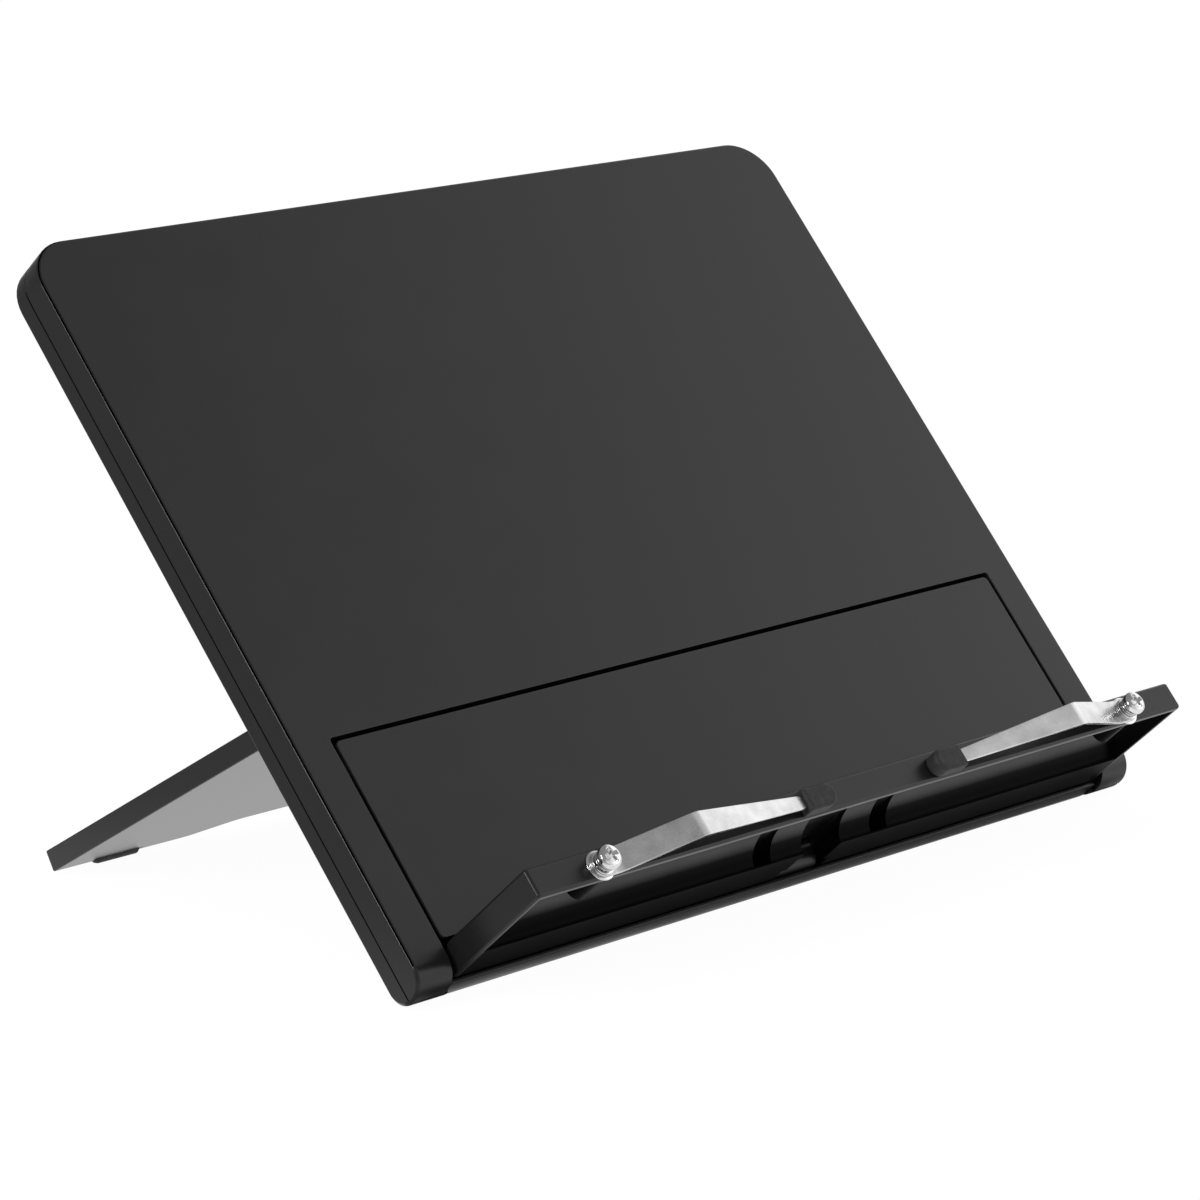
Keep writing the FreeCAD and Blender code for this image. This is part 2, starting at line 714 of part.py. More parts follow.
def make_arm_spring(label):
    """The coil spring between an arm's washer and the screw head, as one unbroken wire."""
    wire = size("spring_wire")
    bottom = size("ring_thickness") + size("arm_thickness") + size("washer_thickness") + 3 * size("stack_gap")
    top = size("screw_head_lift") - size("stack_gap")
    turns = int(size("spring_turns"))
    rise = top - bottom - wire
    gap = rise / turns - wire
    print(f"{label}: least gap between turns {gap:.2f} mm")
    sections = coil_sections(size("spring_radius"), wire / 2, bottom + wire / 2, rise, turns)
    coil = doc.addObject("Part::Feature", label)
    coil.Label = label
    coil.Shape = Part.makeLoft(sections, True, True)
    return coil


def make_leaf_spring(label):
    """A bowed leaf spring along x that carries the floor panel on its crown."""
    thick = size("leaf_thickness")
    drop = size("board_thickness") - size("well_floor") - size("panel_thickness")
    half = size("leaf_length") / 2
    bow = drop - thick - 2 * size("stack_gap")
    outer = Part.Arc(V(-half, 0, 0), V(0, 0, bow), V(half, 0, 0)).toShape()
    inner = Part.Arc(V(half, 0, thick), V(0, 0, bow + thick), V(-half, 0, thick)).toShape()
    ends = [Part.LineSegment(V(half, 0, 0), V(half, 0, thick)).toShape(),
            Part.LineSegment(V(-half, 0, thick), V(-half, 0, 0)).toShape()]
    face = Part.Face(Part.Wire([outer, ends[0], inner, ends[1]]))
    leaf = doc.addObject("Part::Feature", label)
    leaf.Label = label
    strip = face.extrude(V(0, size("leaf_width"), 0))
    strip.translate(V(0, -size("leaf_width") / 2, 0))
    leaf.Shape = strip
    return leaf


def make_case_screws():
    """The countersunk screws that hold the two shells together, from the back."""
    body = new_body("case_screws_single")
    back = "-board_thickness"
    slab(body, "screw_shanks", [("0", "0", "case_screw_radius")], f"{back} + case_head_depth",
         f"{back} + case_screw_length")
    slab(body, "screw_heads", [("0", "0", "case_head_radius")], f"{back} + stack_gap",
         f"{back} + case_head_depth")
    for name, across, along in (("first", "case_cross_width", "case_cross_length"),
                                ("second", "case_cross_length", "case_cross_width")):
        bar = rectangle(f"-{across} / 2", f"-{along} / 2", f"{across} / 2", f"{along} / 2")
        sink(body, f"case_{name}_bar", [bar], f"{back} - 1", f"{back} + case_head_depth / 2")
    shapes = []
    for x, y in CASE_SCREWS:
        for sign in (-1, 1):
            screw = body.Shape.copy()
            screw.translate(V(sign * size(x), size(y), 0))
            shapes.append(screw)
    group = doc.addObject("Part::Feature", "case_screws")
    group.Label = "case_screws"
    group.Shape = Part.makeCompound(shapes)
    return group


def make_thrust_washers():
    """Two nylon washers that take up the gap between the leg and its bearings."""
    shapes = []
    for sign in (-1, 1):
        gap_middle = size("(leg_width + leg_side_gap) / 2")
        start = V(sign * gap_middle - size("thrust_washer") / 2, 0, 0)
        disc = Part.makeCylinder(size("thrust_radius"), size("thrust_washer"), start, ACROSS)
        shapes.append(disc.cut(Part.makeCylinder(size("rod_radius"), size("thrust_washer"), start, ACROSS)))
    group = doc.addObject("Part::Feature", "leg_thrust_washers")
    group.Label = "leg_thrust_washers"
    group.Shape = Part.makeCompound(shapes)
    return group


def board_place(x, y, z, turn=None):
    """A placement in the laid-out board, with an extra turn of the piece itself."""
    return FreeCAD.Placement(V(x, y, z), turn or FreeCAD.Rotation())


ALONG_X = FreeCAD.Rotation(V(0, 1, 0), 90)
HALF_TURN = FreeCAD.Rotation(V(0, 0, 1), 180)


def lay_out():
    """Every piece with its place in the laid-out board, as a list of pairs."""
    flat = board_place(0, 0, 0)
    hinge_y, hinge_z = size("hinge_height"), -size("hinge_depth")
    leg_y, leg_z = size("leg_hinge_height"), -size("leg_hinge_depth")
    leg_place = board_place(0, leg_y, leg_z, FreeCAD.Rotation(ACROSS, -size("leg_angle")))
    pieces = [
        (make_front_shell(), flat),
        (make_back_shell(), flat),
        (make_floor_panel(), flat),
        (make_ledge_shell(), flat),
        (make_case_screws(), flat),
        (make_rod("ledge_hinge_rod", "rod_length"),
         board_place(-size("rod_length") / 2, hinge_y, hinge_z, ALONG_X)),
        (make_rod("leg_hinge_rod", "leg_rod_length"),
         board_place(-size("leg_rod_length") / 2, leg_y, leg_z, ALONG_X)),
        (make_thrust_washers(), board_place(0, leg_y, leg_z)),
        (make_leg_panel(), leg_place),
    ]
    for side, sign in (("left", -1), ("right", 1)):
        pieces += lay_out_side(side, sign, leg_place)
    return pieces


def lay_out_side(side, sign, leg_place):
    """The pieces that come once on each side."""
    well = -size("board_thickness") + size("well_floor") + size("stack_gap")
    foot_x = sign * size("foot_place")
    front_foot = board_place(foot_x, size("front_foot_height"), -size("front_foot_depth"))
    leg_foot = board_place(foot_x, size("leg_length") - size("leg_foot_end"), -size("leg_foot_face"))
    turn = HALF_TURN if sign > 0 else FreeCAD.Rotation()
    pivot = board_place(sign * size("pivot_place"), size("pivot_height"), size("ledge_out"), turn)
    over_arm = size("ring_thickness") + size("arm_thickness") + 2 * size("stack_gap")
    on_arm = board_place(sign * size("pivot_place"), size("pivot_height"), size("ledge_out") + over_arm)
    return [
        (make_rubber_foot(f"front_foot_{side}"), front_foot),
        (make_rubber_foot(f"leg_foot_{side}"), leg_place.multiply(leg_foot)),
        (make_leaf_spring(f"lift_spring_{side}"),
         board_place(sign * size("leaf_place"), size("leaf_height"), well)),
        (make_arm_screw(f"arm_screw_{side}"), pivot),
        (make_ring(f"pivot_ring_{side}", "ring_radius", "ring_thickness", "screw_radius"), pivot),
        (make_ring(f"arm_washer_{side}", "washer_radius", "washer_thickness",
                   "screw_radius + running_gap"), on_arm),
        (make_arm_spring(f"arm_spring_{side}"), pivot),
        (make_page_arm(f"page_arm_{side}"), pivot),
        (make_arm_tip(f"arm_tip_{side}"), pivot),
    ]


def stand_up(pieces):
    """Tilts the laid-out pieces, stands them on the floor and centres the origin under them."""
    tilt = FreeCAD.Placement(V(0, 0, 0), FreeCAD.Rotation(ACROSS, size("board_tilt")))
    foot = tilt.multVec(V(0, size("front_foot_height"), -size("front_foot_depth")))
    drop = foot.z - size("foot_radius") + size("foot_flat")
    for piece, place in pieces:
        piece.Placement = FreeCAD.Placement(V(0, 0, -drop), FreeCAD.Rotation()).multiply(tilt).multiply(place)
    doc.recompute()
    box = Part.makeCompound([piece.Shape for piece, place in pieces]).BoundBox
    setback = V(0, -(box.YMin + box.YMax) / 2, 0)
    for piece, place in pieces:
        piece.Placement = FreeCAD.Placement(setback, FreeCAD.Rotation()).multiply(piece.Placement)
    doc.recompute()
    print(f"setback {setback.y:.3f}, height over floor {-drop:.3f}")


def flatten_feet(pieces):
    """Cuts the rubber feet flat where they stand on the floor."""
    flat = []
    for piece, place in pieces:
        if "_foot_" not in piece.Label:
            flat.append(piece)
            continue
        floor = doc.addObject("Part::Box", f"floor_under_{piece.Label}")
        box = piece.Shape.BoundBox
        margin = 5
        floor.Length, floor.Width, floor.Height = box.XLength + 2 * margin, box.YLength + 2 * margin, margin
        floor.Placement.Base = V(box.XMin - margin, box.YMin - margin, -margin)
        cut = doc.addObject("Part::Cut", f"{piece.Name}_flat")
        label = piece.Label
        piece.Label = f"{label}_bead_whole"
        cut.Label = label
        cut.Base = piece
        cut.Tool = floor
        flat.append(cut)
    doc.recompute()
    return flat


def write_parts(pieces):
    """Checks every object and writes each piece to a file with its own name."""
    for item in doc.Objects:
        if "Invalid" in item.State or "Error" in item.State:
            raise RuntimeError(f"{item.Label} did not rebuild: {item.State}")
    os.makedirs("parts", exist_ok=True)
    for piece in pieces:
        shape = piece.Shape
        if shape.isNull() or not shape.isValid():
            raise RuntimeError(f"{piece.Label} has no valid shape")
        shape.exportStep(f"parts/{piece.Label}.step")
        print(f"{piece.Label}: {len(shape.Solids)} solid, {shape.Volume:.0f} mm3")


fill_sheet()
laid_out = lay_out()
stand_up(laid_out)
write_parts(flatten_feet(laid_out))
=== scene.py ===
"""The looks of a folding book stand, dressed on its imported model. Lengths are in metres."""
import json
import logging
import math
from collections.abc import Callable
from dataclasses import dataclass
from enum import Enum

import bmesh
import bpy
from mathutils import Matrix, Vector


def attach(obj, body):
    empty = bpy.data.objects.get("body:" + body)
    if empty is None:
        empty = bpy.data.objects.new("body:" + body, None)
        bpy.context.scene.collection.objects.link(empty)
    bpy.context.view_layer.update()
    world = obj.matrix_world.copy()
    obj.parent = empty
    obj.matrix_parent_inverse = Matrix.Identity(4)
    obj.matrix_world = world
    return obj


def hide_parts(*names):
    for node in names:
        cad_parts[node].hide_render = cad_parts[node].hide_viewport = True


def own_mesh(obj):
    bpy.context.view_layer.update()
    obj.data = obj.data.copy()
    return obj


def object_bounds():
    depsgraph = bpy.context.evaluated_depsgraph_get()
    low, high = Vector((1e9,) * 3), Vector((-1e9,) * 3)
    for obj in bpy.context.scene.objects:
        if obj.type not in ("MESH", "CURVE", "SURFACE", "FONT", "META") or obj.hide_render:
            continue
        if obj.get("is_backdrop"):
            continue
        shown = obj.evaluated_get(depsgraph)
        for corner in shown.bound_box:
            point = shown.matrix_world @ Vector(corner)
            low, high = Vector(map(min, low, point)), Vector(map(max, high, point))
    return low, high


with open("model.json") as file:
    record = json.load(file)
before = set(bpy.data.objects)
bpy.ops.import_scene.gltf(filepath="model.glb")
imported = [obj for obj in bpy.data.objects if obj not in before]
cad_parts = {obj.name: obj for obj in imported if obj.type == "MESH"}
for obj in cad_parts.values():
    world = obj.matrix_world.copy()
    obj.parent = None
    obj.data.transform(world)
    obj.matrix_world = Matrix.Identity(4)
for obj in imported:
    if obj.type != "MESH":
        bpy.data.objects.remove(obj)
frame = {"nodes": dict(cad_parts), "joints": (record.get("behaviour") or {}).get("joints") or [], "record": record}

LOG = logging.getLogger("book_stand")
MM = 0.001

Span = tuple[float, float]
Triple = tuple[float, float, float]
Socket = bpy.types.NodeSocket
Material = bpy.types.Material
Mesh = bmesh.types.BMesh
Face = bmesh.types.BMFace
Edge = bmesh.types.BMEdge

RISING: Span = (0.0, 1.0)
FALLING: Span = (1.0, 0.0)
# Most of a noise's values lie in this span.
NOISE_SPAN: Span = (0.3, 0.7)
# Points of a turned piece that are nearer than this are one.
POLE_WELD = 0.0005 * MM


class Side(Enum):
    """The two hands of the stand, seen from its front."""

    LEFT = "left"
    RIGHT = "right"

    @property
    def sign(self) -> int:
        """-1 on the left and 1 on the right."""
        return -1 if self is Side.LEFT else 1


class Axis(Enum):
    """The board's own axes, by their place in a vector."""

    ACROSS = 0
    UP = 1
    OUT = 2


@dataclass(frozen=True)
class Pattern:
    """A noise: its features in a metre, its octaves, and factors along the axes that stretch it."""

    scale: float
    detail: float
    stretch: Triple | None = None


def grey(level: float) -> Triple:
    """A neutral colour whose three linear channels have one level."""
    return (level, level, level)


class NodeSketch:
    """A short way to build one node tree."""

    def __init__(self, owner: Material | bpy.types.World) -> None:
        """Empties a tree.

        Args:
            owner: the material or world that has the tree.
        """
        owner.use_nodes = True
        self.tree = owner.node_tree
        self.tree.nodes.clear()

    def add(self, kind: str, **settings: object) -> bpy.types.Node:
        """Adds a node and sets its properties.

        Args:
            kind: the node's type name.
            settings: properties to set on it.

        Returns:
            The new node.
        """
        node = self.tree.nodes.new(kind)
        for key, value in settings.items():
            setattr(node, key, value)
        return node

    def link(self, source: Socket, target: Socket) -> None:
        """Joins two sockets."""
        self.tree.links.new(source, target)

    def parts(self, vector: Socket) -> tuple[Socket, ...]:
        """Splits a vector.

        Args:
            vector: the vector's socket.

        Returns:
            The sockets of its three numbers.
        """
        node = self.add("ShaderNodeSeparateXYZ")
        self.link(vector, node.inputs["Vector"])
        return tuple(node.outputs)

    def maths(self, operation: str, *values: Socket | float) -> Socket:
        """One sum.

        Args:
            operation: the Math node's operation.
            values: one or two sockets or numbers.

        Returns:
            The result's socket.
        """
        node = self.add("ShaderNodeMath", operation=operation)
        for value, socket in zip(values, node.inputs):
            if isinstance(value, Socket):
                self.link(value, socket)
            else:
                socket.default_value = value
        return node.outputs["Value"]

    def product(self, *values: Socket | float) -> Socket:
        """Multiplies values.

        Args:
            values: two or more sockets or numbers.

        Returns:
            The product's socket.
        """
        result = values[0]
        for value in values[1:]:
            result = self.maths("MULTIPLY", result, value)
        return result

    def mapped(self, value: Socket, source: Span, target: Span) -> Socket:
        """Moves a value from one range to another, and holds it there.

        Args:
            value: the value.
            source: its range.
            target: the range that it gets.

        Returns:
            The new value.
        """
        node = self.add("ShaderNodeMapRange")
        node.inputs["From Min"].default_value, node.inputs["From Max"].default_value = source
        node.inputs["To Min"].default_value, node.inputs["To Max"].default_value = target
        self.link(value, node.inputs["Value"])
        return node.outputs["Result"]

    def around(self, value: Socket, middle: float, spread: float) -> Socket:
        """A number that a noise moves to both sides.

        Args:
            value: the noise.
            middle: the number without it.
            spread: how far it moves.

        Returns:
            The moved number.
        """
        return self.mapped(value, NOISE_SPAN, (middle - spread, middle + spread))

    def glow(self, kind: str, level: Socket | float) -> Socket:
        """White light given off by a stage surface or the world.

        Args:
            kind: the type name of the node that gives it off.
            level: its strength.

        Returns:
            The shader's socket.
        """
        node = self.add(kind)
        node.inputs["Color"].default_value = (1, 1, 1, 1)
        if isinstance(level, Socket):
            self.link(level, node.inputs["Strength"])
        else:
            node.inputs["Strength"].default_value = level
        return node.outputs[0]

    def mixed(self, share: float, first: Socket, second: Socket, switch: Socket) -> Socket:
        """Two shaders mixed, where the switch is on.

        Args:
            share: the share of the second one.
            first: the shader that shows where the switch is off.
            second: the other.
            switch: 1 where it is on.

        Returns:
            The mixed shader's socket.
        """
        mix = self.add("ShaderNodeMixShader")
        self.link(self.product(switch, share), mix.inputs["Fac"])
        self.link(first, mix.inputs[1])
        self.link(second, mix.inputs[2])
        return mix.outputs["Shader"]


class FinishSketch(NodeSketch):
    """A short way to build one material's nodes."""

    def __init__(self, name: str) -> None:
        """Starts a material with a Principled shader.

        Args:
            name: the material's name.
        """
        self.material = bpy.data.materials.new(name)
        super().__init__(self.material)
        self.shader = self.add("ShaderNodeBsdfPrincipled")
        self.output = self.add("ShaderNodeOutputMaterial")
        self.link(self.shader.outputs["BSDF"], self.output.inputs["Surface"])
        self.coordinates = self.add("ShaderNodeTexCoord").outputs["Object"]

    def noise(self, pattern: Pattern) -> Socket:
        """Noise on the object's coordinates.

        Args:
            pattern: the noise's scale, octaves and stretch.

        Returns:
            The noise's value.
        """
        node = self.add("ShaderNodeTexNoise")
        node.inputs["Scale"].default_value = pattern.scale
        node.inputs["Detail"].default_value = pattern.detail
        place = self.coordinates
        if pattern.stretch:
            mapping = self.add("ShaderNodeMapping")
            mapping.inputs["Scale"].default_value = pattern.stretch
            self.link(place, mapping.inputs["Vector"])
            place = mapping.outputs["Vector"]
        self.link(place, node.inputs["Vector"])
        return node.outputs["Fac"]

    def tint(self, value: Socket, low: Triple, high: Triple) -> Socket:
        """A colour between two others.

        Args:
            value: 0 for the first and 1 for the second.
            low: the first colour.
            high: the second colour.

        Returns:
            The colour's socket.
        """
        ramp = self.add("ShaderNodeValToRGB")
        ramp.color_ramp.elements[0].color = (*low, 1)
        ramp.color_ramp.elements[1].color = (*high, 1)
        self.link(value, ramp.inputs["Fac"])
        return ramp.outputs["Color"]

    def bump(self, height: Socket, distance: float, strength: float, below: Socket | None = None) -> Socket:
        """A surface bump.

        Args:
            height: the height's value.
            distance: the height of a value of 1, in metres.
            strength: the share that is used.
            below: another bump that this one adds to.

        Returns:
            The bumped normal.
        """
        node = self.add("ShaderNodeBump")
        node.inputs["Distance"].default_value = distance
        node.inputs["Strength"].default_value = strength
        self.link(height, node.inputs["Height"])
        if below:
            self.link(below, node.inputs["Normal"])
        return node.outputs["Normal"]

    def set(self, **values: object) -> None:
        """Sets the shader's own sockets, with spaces written as underscores.

        Args:
            values: the sockets' values.
        """
        for key, value in values.items():
            self.shader.inputs[key.replace("_", " ")].default_value = value

    def drive(self, **sockets: Socket) -> None:
        """Links values to the shader's sockets, with spaces written as underscores.

        Args:
            sockets: what drives each socket.
        """
        for key, value in sockets.items():
            self.link(value, self.shader.inputs[key.replace("_", " ")])


@dataclass(frozen=True)
class MouldedPlastic:
    """Black plastic with the fine matt grain of an eroded mould, or smooth where the grain is 0, and painted shade
    where a shade mask is given.
    """

    name: str
    tone: float = 0.0108
    spread: float = 0.07
    cloud: Pattern = Pattern(14, 3)
    roughness: float = 0.32
    unevenness: float = 0.03
    patches: Pattern = Pattern(60, 4)
    gloss: float = 0.4
    grain: float = 0.012 * MM
    grain_share: float = 0.6
    grains: Pattern = Pattern(3200, 2)
    flow: float = 0.05 * MM
    flow_share: float = 0.4
    waves: Pattern = Pattern(9, 1)
    shade: "PaintedShade | None" = None
    shade_tone: float = 0.3
    shade_gloss: float = 0.02

    def material(self) -> Material:
        """Builds the plastic.

        Returns:
            The material.
        """
        sketch = FinishSketch(self.name)
        low, high = grey(self.tone * (1 - self.spread)), grey(self.tone * (1 + self.spread))
        colour = sketch.tint(sketch.noise(self.cloud), low, high)
        sketch.set(Specular_IOR_Level=self.gloss, Roughness=self.roughness)
        # Painted shade: where the mask is on, the colour is darkened and the gloss lowered, standing in for the
        # shade in hollows and gaps.
        if self.shade:
            painted_shade = self.shade.mask(sketch)
            shaded_colour = sketch.add("ShaderNodeVectorMath", operation="SCALE")
            sketch.link(colour, shaded_colour.inputs["Vector"])
            sketch.link(sketch.mapped(painted_shade, RISING, (1, self.shade_tone)), shaded_colour.inputs["Scale"])
            colour = shaded_colour.outputs["Vector"]
            sketch.drive(Specular_IOR_Level=sketch.mapped(painted_shade, RISING, (self.gloss, self.shade_gloss)))
        sketch.drive(Base_Color=colour)
        if self.unevenness:
            sketch.drive(Roughness=sketch.around(sketch.noise(self.patches), self.roughness, self.unevenness))
        if self.grain:
            swell = sketch.bump(sketch.noise(self.waves), self.flow, self.flow_share)
            fine = sketch.noise(self.grains)
            sketch.drive(Normal=sketch.bump(fine, self.grain, self.grain_share, below=swell))
        return sketch.material


@dataclass(frozen=True)
class PlatedSteel:
    """Steel with a bright plating, drawn lines along it and light scuffs."""

    name: str
    tone: float = 0.65
    darkest: float = 0.82
    brightest: float = 1.12
    cloud: Pattern = Pattern(170, 4)
    roughness: float = 0.3
    unevenness: float = 0.04
    drawing: Pattern = Pattern(1, 3, (60, 2600, 2600))
    scuffs: float = 0.5
    scuff_roughness: float = 0.2
    scratches: Pattern = Pattern(1, 5, (420, 2100, 2100))
    scratched: Span = (0.62, 0.72)
    line_height: float = 0.0003 * MM
    scuff_height: float = 0.001 * MM
    relief: float = 0.4

    def material(self) -> Material:
        """Builds the metal.

        Returns:
            The material.
        """
        sketch = FinishSketch(self.name)
        drawn = sketch.noise(self.drawing)
        mark = sketch.mapped(sketch.noise(self.scratches), self.scratched, (0, self.scuffs))
        sketch.drive(Base_Color=sketch.tint(sketch.mapped(sketch.noise(self.cloud), NOISE_SPAN, RISING),
                                            grey(self.tone * self.darkest), grey(self.tone * self.brightest)))
        duller = sketch.mapped(mark, RISING, (0, self.scuff_roughness))
        base = sketch.around(drawn, self.roughness, self.unevenness)
        sketch.drive(Roughness=sketch.maths("ADD", base, duller))
        scored = sketch.bump(mark, self.scuff_height, self.relief)
        sketch.drive(Normal=sketch.bump(drawn, self.line_height, self.relief, below=scored))
        sketch.set(Metallic=1.0)
        return sketch.material


@dataclass(frozen=True)
class Rubber:
    """Matt black rubber with a soft, slightly dusty skin."""

    name: str
    tone: float = 0.024
    dusty: float = 1.6
    dust: Pattern = Pattern(500, 5)
    settled: Span = (0.45, 0.75)
    roughness: float = 0.62
    unevenness: float = 0.06
    wear: Pattern = Pattern(900, 3)
    gloss: float = 0.35
    grain: float = 0.03 * MM
    grain_share: float = 0.6
    grains: Pattern = Pattern(2400, 3)

    def material(self) -> Material:
        """Builds the rubber.

        Returns:
            The material.
        """
        sketch = FinishSketch(self.name)
        dust = sketch.mapped(sketch.noise(self.dust), self.settled, RISING)
        sketch.drive(Base_Color=sketch.tint(dust, grey(self.tone), grey(self.tone * self.dusty)),
                     Roughness=sketch.around(sketch.noise(self.wear), self.roughness, self.unevenness),
                     Normal=sketch.bump(sketch.noise(self.grains), self.grain, self.grain_share))
        sketch.set(Specular_IOR_Level=self.gloss)
        return sketch.material


@dataclass(frozen=True)
class Nylon:
    """Natural nylon, slightly uneven and waxy."""

    name: str = "natural_nylon"
    tone: Triple = (0.66, 0.64, 0.58)
    darkest: float = 0.94
    cloud: Pattern = Pattern(400, 3)
    roughness: float = 0.44
    unevenness: float = 0.06
    wear: Pattern = Pattern(900, 2)

    def material(self) -> Material:
        """Builds the nylon.

        Returns:
            The material.
        """
        sketch = FinishSketch(self.name)
        low = tuple(self.darkest * part for part in self.tone)
        sketch.drive(Base_Color=sketch.tint(sketch.noise(self.cloud), low, self.tone),
                     Roughness=sketch.around(sketch.noise(self.wear), self.roughness, self.unevenness))
        return sketch.material


@dataclass(frozen=True)
class BoardAxes:
    """The tilted axes of the board: across, up its slope and out of its face."""

    foot: Vector
    up: Vector
    out: Vector

    @classmethod
    def from_joints(cls, joints: dict[str, dict], hinge_inset: float = 6.75 * MM) -> "BoardAxes":
        """Finds the axes from the ledge's hinge and the arms' lift.

        Args:
            joints: the record's joints by name.
            hinge_inset: how far the hinge lies behind the face and above the board's bottom edge.

        Returns:
            The axes, from the middle of the face's bottom edge.
        """
        out = Vector(joints["arm_left_lift"]["axis"]).normalized()
        up = out.cross(Vector((1, 0, 0)))
        hinge = Vector(joints["ledge_fold"]["pos_m"])
        return cls(hinge + hinge_inset * (out - up), up, out)

    def matrix(self, across: float = 0.0, up: float = 0.0, out: float = 0.0, turn: float = 0.0) -> Matrix:
        """Places something on the board.

        Args:
            across: how far it lies to the right.
            up: how far it lies up the slope.
            out: how far it stands out of the face.
            turn: its turn about the outward axis, in radians.

        Returns:
            The matrix from the thing's own axes to the stand's.
        """
        basis = Matrix((Vector((1, 0, 0)), self.up, self.out)).transposed().to_4x4()
        shift = Matrix.Translation((across, up, out))
        return Matrix.Translation(self.foot) @ basis @ shift @ Matrix.Rotation(turn, 4, "Z")

    def read(self, sketch: FinishSketch) -> tuple[Socket, ...]:
        """Object coordinates along the board's own axes.

        Args:
            sketch: the material.

        Returns:
            How far a point lies across, up the slope and out of the face.
        """
        tilt = math.atan2(self.up.z, self.up.y)
        mapping = sketch.add("ShaderNodeMapping")
        mapping.inputs["Rotation"].default_value = (-tilt, 0, 0)
        mapping.inputs["Location"].default_value = -(Matrix.Rotation(-tilt, 3, "X") @ self.foot)
        sketch.link(sketch.coordinates, mapping.inputs["Vector"])
        return sketch.parts(mapping.outputs["Vector"])

    def split(self, point: Vector) -> Vector:
        """A point of the stand as across, up the slope and out of the face."""
        away = point - self.foot
        return Vector((away.x, away.dot(self.up), away.dot(self.out)))


@dataclass(frozen=True)
class Border:
    """A soft side of a shade, where it enters along an axis or else ends. Across counts from the middle."""

    axis: Axis
    start: float
    end: float
    enters: bool = False


@dataclass(frozen=True)
class PaintedShade:
    """Painted shade on hidden walls, a darker colour and less gloss: a block of the board's own axes with soft
    borders.
    """

    axes: BoardAxes
    borders: tuple[Border, ...]

    @classmethod
    def channel(cls, axes: BoardAxes, half_width: float) -> "PaintedShade":
        """Painted shade in the channel under the ledge, darkest at its base and less towards its roof.

        Args:
            axes: the board's axes.
            half_width: where its end walls are.

        Returns:
            The shade.
        """
        hair = 0.1 * MM
        fully_shaded, clear, band = 6.3 * MM, 9.0 * MM, 34.8 * MM
        return cls(axes, (Border(Axis.ACROSS, half_width - hair / 2, half_width + hair / 2),
                          Border(Axis.UP, fully_shaded, clear),
                          Border(Axis.OUT, band, band + hair)))

    @classmethod
    def rim(cls, axes: BoardAxes, half_width: float) -> "PaintedShade":
        """Painted shade in the gaps beside the board's face.

        Args:
            axes: the board's axes.
            half_width: where its side walls are.

        Returns:
            The shade.
        """
        hair = 0.1 * MM
        inner, outer = half_width - 2.6 * MM, half_width - 0.4 * MM
        low, high, top = 7.4 * MM, 214.0 * MM, 214.5 * MM
        skin = 0.4 * MM
        return cls(axes, (Border(Axis.ACROSS, inner, inner + hair, enters=True),
                          Border(Axis.ACROSS, outer - hair, outer),
                          Border(Axis.UP, low, low + hair, enters=True),
                          Border(Axis.UP, high, top),
                          Border(Axis.OUT, -skin - hair, -skin)))

    def mask(self, sketch: FinishSketch) -> Socket:
        """1 where the shade is painted and 0 on the rest of the moulding.

        Args:
            sketch: the material.

        Returns:
            The mask's socket.
        """
        across, up, out = self.axes.read(sketch)
        places = (sketch.maths("ABSOLUTE", across), up, out)
        shares = []
        for border in self.borders:
            levels = RISING if border.enters else FALLING
            shares.append(sketch.mapped(places[border.axis.value], (border.start, border.end), levels))
        return sketch.product(*shares)


def show(name: str, data: bpy.types.ID) -> bpy.types.Object:
    """Puts an object into the scene.

    Args:
        name: its name.
        data: its mesh, lamp or camera.

    Returns:
        The object.
    """
    item = bpy.data.objects.new(name, data)
    bpy.context.scene.collection.objects.link(item)
    return item


def lathe(profile: list[Span], steps: int) -> Mesh:
    """Turns a profile once round the z axis.

    Args:
        profile: its points, as radius and height in metres.
        steps: the sides of the turned piece.

    Returns:
        The mesh.
    """
    mesh = bmesh.new()
    points = [mesh.verts.new((radius, 0, height)) for radius, height in profile]
    lines = [mesh.edges.new(pair) for pair in zip(points, points[1:])]
    bmesh.ops.spin(mesh, geom=points + lines, cent=(0, 0, 0), axis=(0, 0, 1), angle=math.tau, steps=steps,
                   use_merge=True)
    bmesh.ops.remove_doubles(mesh, verts=mesh.verts, dist=POLE_WELD)
    bmesh.ops.recalc_face_normals(mesh, faces=mesh.faces)
    return mesh


def disc(outer: float, inner: float, low: float, high: float, soft: float, steps: int) -> Mesh:
    """A flat ring with softened corners.

    Args:
        outer: the outer radius.
        inner: the bore's radius.
        low: the height of its underside.
        high: the height of its top.
        soft: how far the corners are cut back.
        steps: the sides of the turned piece.

    Returns:
        The mesh.
    """
    knee = 0.3 * soft
    return lathe([(inner, low), (outer - soft, low), (outer, low + soft), (outer, high - soft),
                  (outer - knee, high - knee), (outer - soft, high), (inner, high), (inner, low)], steps)


def draw_out(mesh: Mesh, faces: list[Face], along: Vector) -> None:
    """Draws loose faces out to a closed solid.

    Args:
        mesh: the mesh.
        faces: the faces, which nothing else is joined to.
        along: how far, and in which direction.
    """
    known = set(mesh.faces) - set(faces)
    drawn = bmesh.ops.extrude_face_region(mesh, geom=faces)["geom"]
    moved = [item for item in drawn if isinstance(item, bmesh.types.BMVert)]
    bmesh.ops.translate(mesh, verts=moved, vec=along)
    bmesh.ops.recalc_face_normals(mesh, faces=[face for face in mesh.faces if face not in known])


